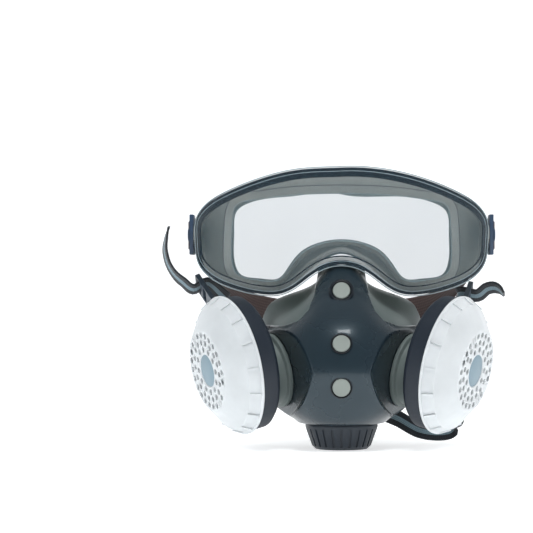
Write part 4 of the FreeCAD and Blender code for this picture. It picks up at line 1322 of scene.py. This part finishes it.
# %% Buckles, anchors, lugs and clasps
HARDWARE_EDGES = {"buckle": 0.4, "strap_anchor": 0.3, "anchor_pin": 0.3, "neck_lug": 0.5}
for side in SIDES:
    for part, rounding in HARDWARE_EDGES.items():
        moulded(f"{side}_{part}", BUCKLE_DARK, edge=rounding)
moulded("crown_cradle", BUCKLE_DARK, edge=0.6)
moulded("neck_clasp", BUCKLE_DARK, edge=0.5)

# %% [markdown]
# ## Floor, light and camera
# A broad softbox above and in front and two strips at the sides light a white sweep. Only a small
# lamp beside the softbox shows in reflections, as one crisp highlight on the shell.


# %% Floor and backdrop
SWEEP_FRONT, SWEEP_BACK, SWEEP_HIGH, SWEEP_CURVE = -1.6, 2.2, 2.4, 0.7
SWEEP_HALF_WIDTH = 3.0
SWEEP_STEPS = 12
PAPER_GLOW = 0.62


def sweep_line():
    """Side view of the paper sweep: flat floor, a quarter round and a wall, as (y, z)."""
    line = [(SWEEP_FRONT, 0.0)]
    for step in range(SWEEP_STEPS + 1):
        turn = step / SWEEP_STEPS * math.pi / 2
        back = SWEEP_BACK - SWEEP_CURVE * (1 - math.sin(turn))
        line.append((back, SWEEP_CURVE * (1 - math.cos(turn))))
    return [*line, (SWEEP_BACK, SWEEP_HIGH)]


def make_sweep():
    paper = Finish("paper_white", "eef0f1", Roughness=0.9, Emission_Strength=PAPER_GLOW)
    paper.surface.inputs["Emission Color"].default_value = (1.0, 1.0, 1.0, 1.0)
    work = bmesh.new()
    ends = (-SWEEP_HALF_WIDTH, SWEEP_HALF_WIDTH)
    rows = [[work.verts.new((x, y, z)) for x in ends] for y, z in sweep_line()]
    for near, far in zip(rows, rows[1:]):
        work.faces.new([near[0], near[1], far[1], far[0]])
    mesh = mesh_of(work, "paper_sweep", closed=False)
    mesh.materials.append(paper.material)
    shade(add_object("paper_sweep", mesh), 80.0)


# %% Lamps and world
WORLD_STOPS = [(0.0, (0.3, 0.32, 0.34, 1)), (0.5, (0.46, 0.48, 0.5, 1)), (0.9, (1, 1, 1, 1))]
WORLD_STRENGTH = 0.8


def add_light(name, place, aim, size, watts, tint=(1, 1, 1), mirrored=False):
    lamp = bpy.data.lights.new(name, "AREA")
    lamp.shape = "RECTANGLE"
    lamp.size, lamp.size_y = size
    lamp.energy = watts
    lamp.color = tint
    light = add_object(name, lamp)
    light.location = place
    light.visible_glossy = mirrored
    light.rotation_euler = (Vector(aim) - Vector(place)).to_track_quat("-Z", "Y").to_euler()


def make_world():
    """Dim in front, so dark gloss stays dark, and bright behind."""
    world = bpy.data.worlds.new("studio")
    bpy.context.scene.world = world
    world.use_nodes = True
    g = Graph(world.node_tree)
    background = world.node_tree.nodes["Background"]
    axes = g.node("ShaderNodeSeparateXYZ", {}, [g.node("ShaderNodeTexCoord", output="Generated")])
    back = Value(g, axes.socket.node.outputs["Y"])
    tone = g.node("ShaderNodeValToRGB", {"stops": WORLD_STOPS}, {"Fac": back * 0.5 + 0.5})
    world.node_tree.links.new(tone.socket, background.inputs["Color"])
    background.inputs["Strength"].default_value = WORLD_STRENGTH


# %% [markdown]
# The camera stands 1.1 m in front of the mask, level with the filters, with a long lens. Shift
# puts the object where it belongs in the frame without tilting the verticals.


# %% Camera
FRAME_SIDE = 533
FOCAL = 1854
MIDDLE_ACROSS, HORIZON_DOWN = 341.5, 292.0
SENSOR_WIDTH = 36.0
CAMERA_PLACE = (0.0, -1.1, 0.0927)
LAMP_AIM = (0, 0, 0.08)


def make_camera():
    camera = bpy.data.cameras.new("camera")
    holder = add_object("camera", camera)
    camera.sensor_width = SENSOR_WIDTH
    camera.lens = FOCAL / FRAME_SIDE * camera.sensor_width
    camera.shift_x = (FRAME_SIDE / 2 - MIDDLE_ACROSS) / FRAME_SIDE
    camera.shift_y = (HORIZON_DOWN - FRAME_SIDE / 2) / FRAME_SIDE
    holder.location = CAMERA_PLACE
    holder.rotation_euler = (math.pi / 2, 0, 0)
    camera.clip_end = 50
    bpy.context.scene.camera = holder


make_sweep()
make_world()
add_light("softbox_top", (0.1, -0.45, 1.1), LAMP_AIM, (0.7, 0.4), 6.5)
add_light("strip_left", (-0.9, -0.5, 0.5), LAMP_AIM, (0.2, 0.8), 2.6, (0.93, 0.97, 1.0))
add_light("strip_right", (0.9, -0.4, 0.5), LAMP_AIM, (0.2, 0.8), 2.2)
add_light("glint", (0.04, -0.5, 1.05), (0, -0.04, 0.09), (0.16, 0.1), 0.9, mirrored=True)
make_camera()
bpy.context.scene.view_settings.view_transform = "Standard"
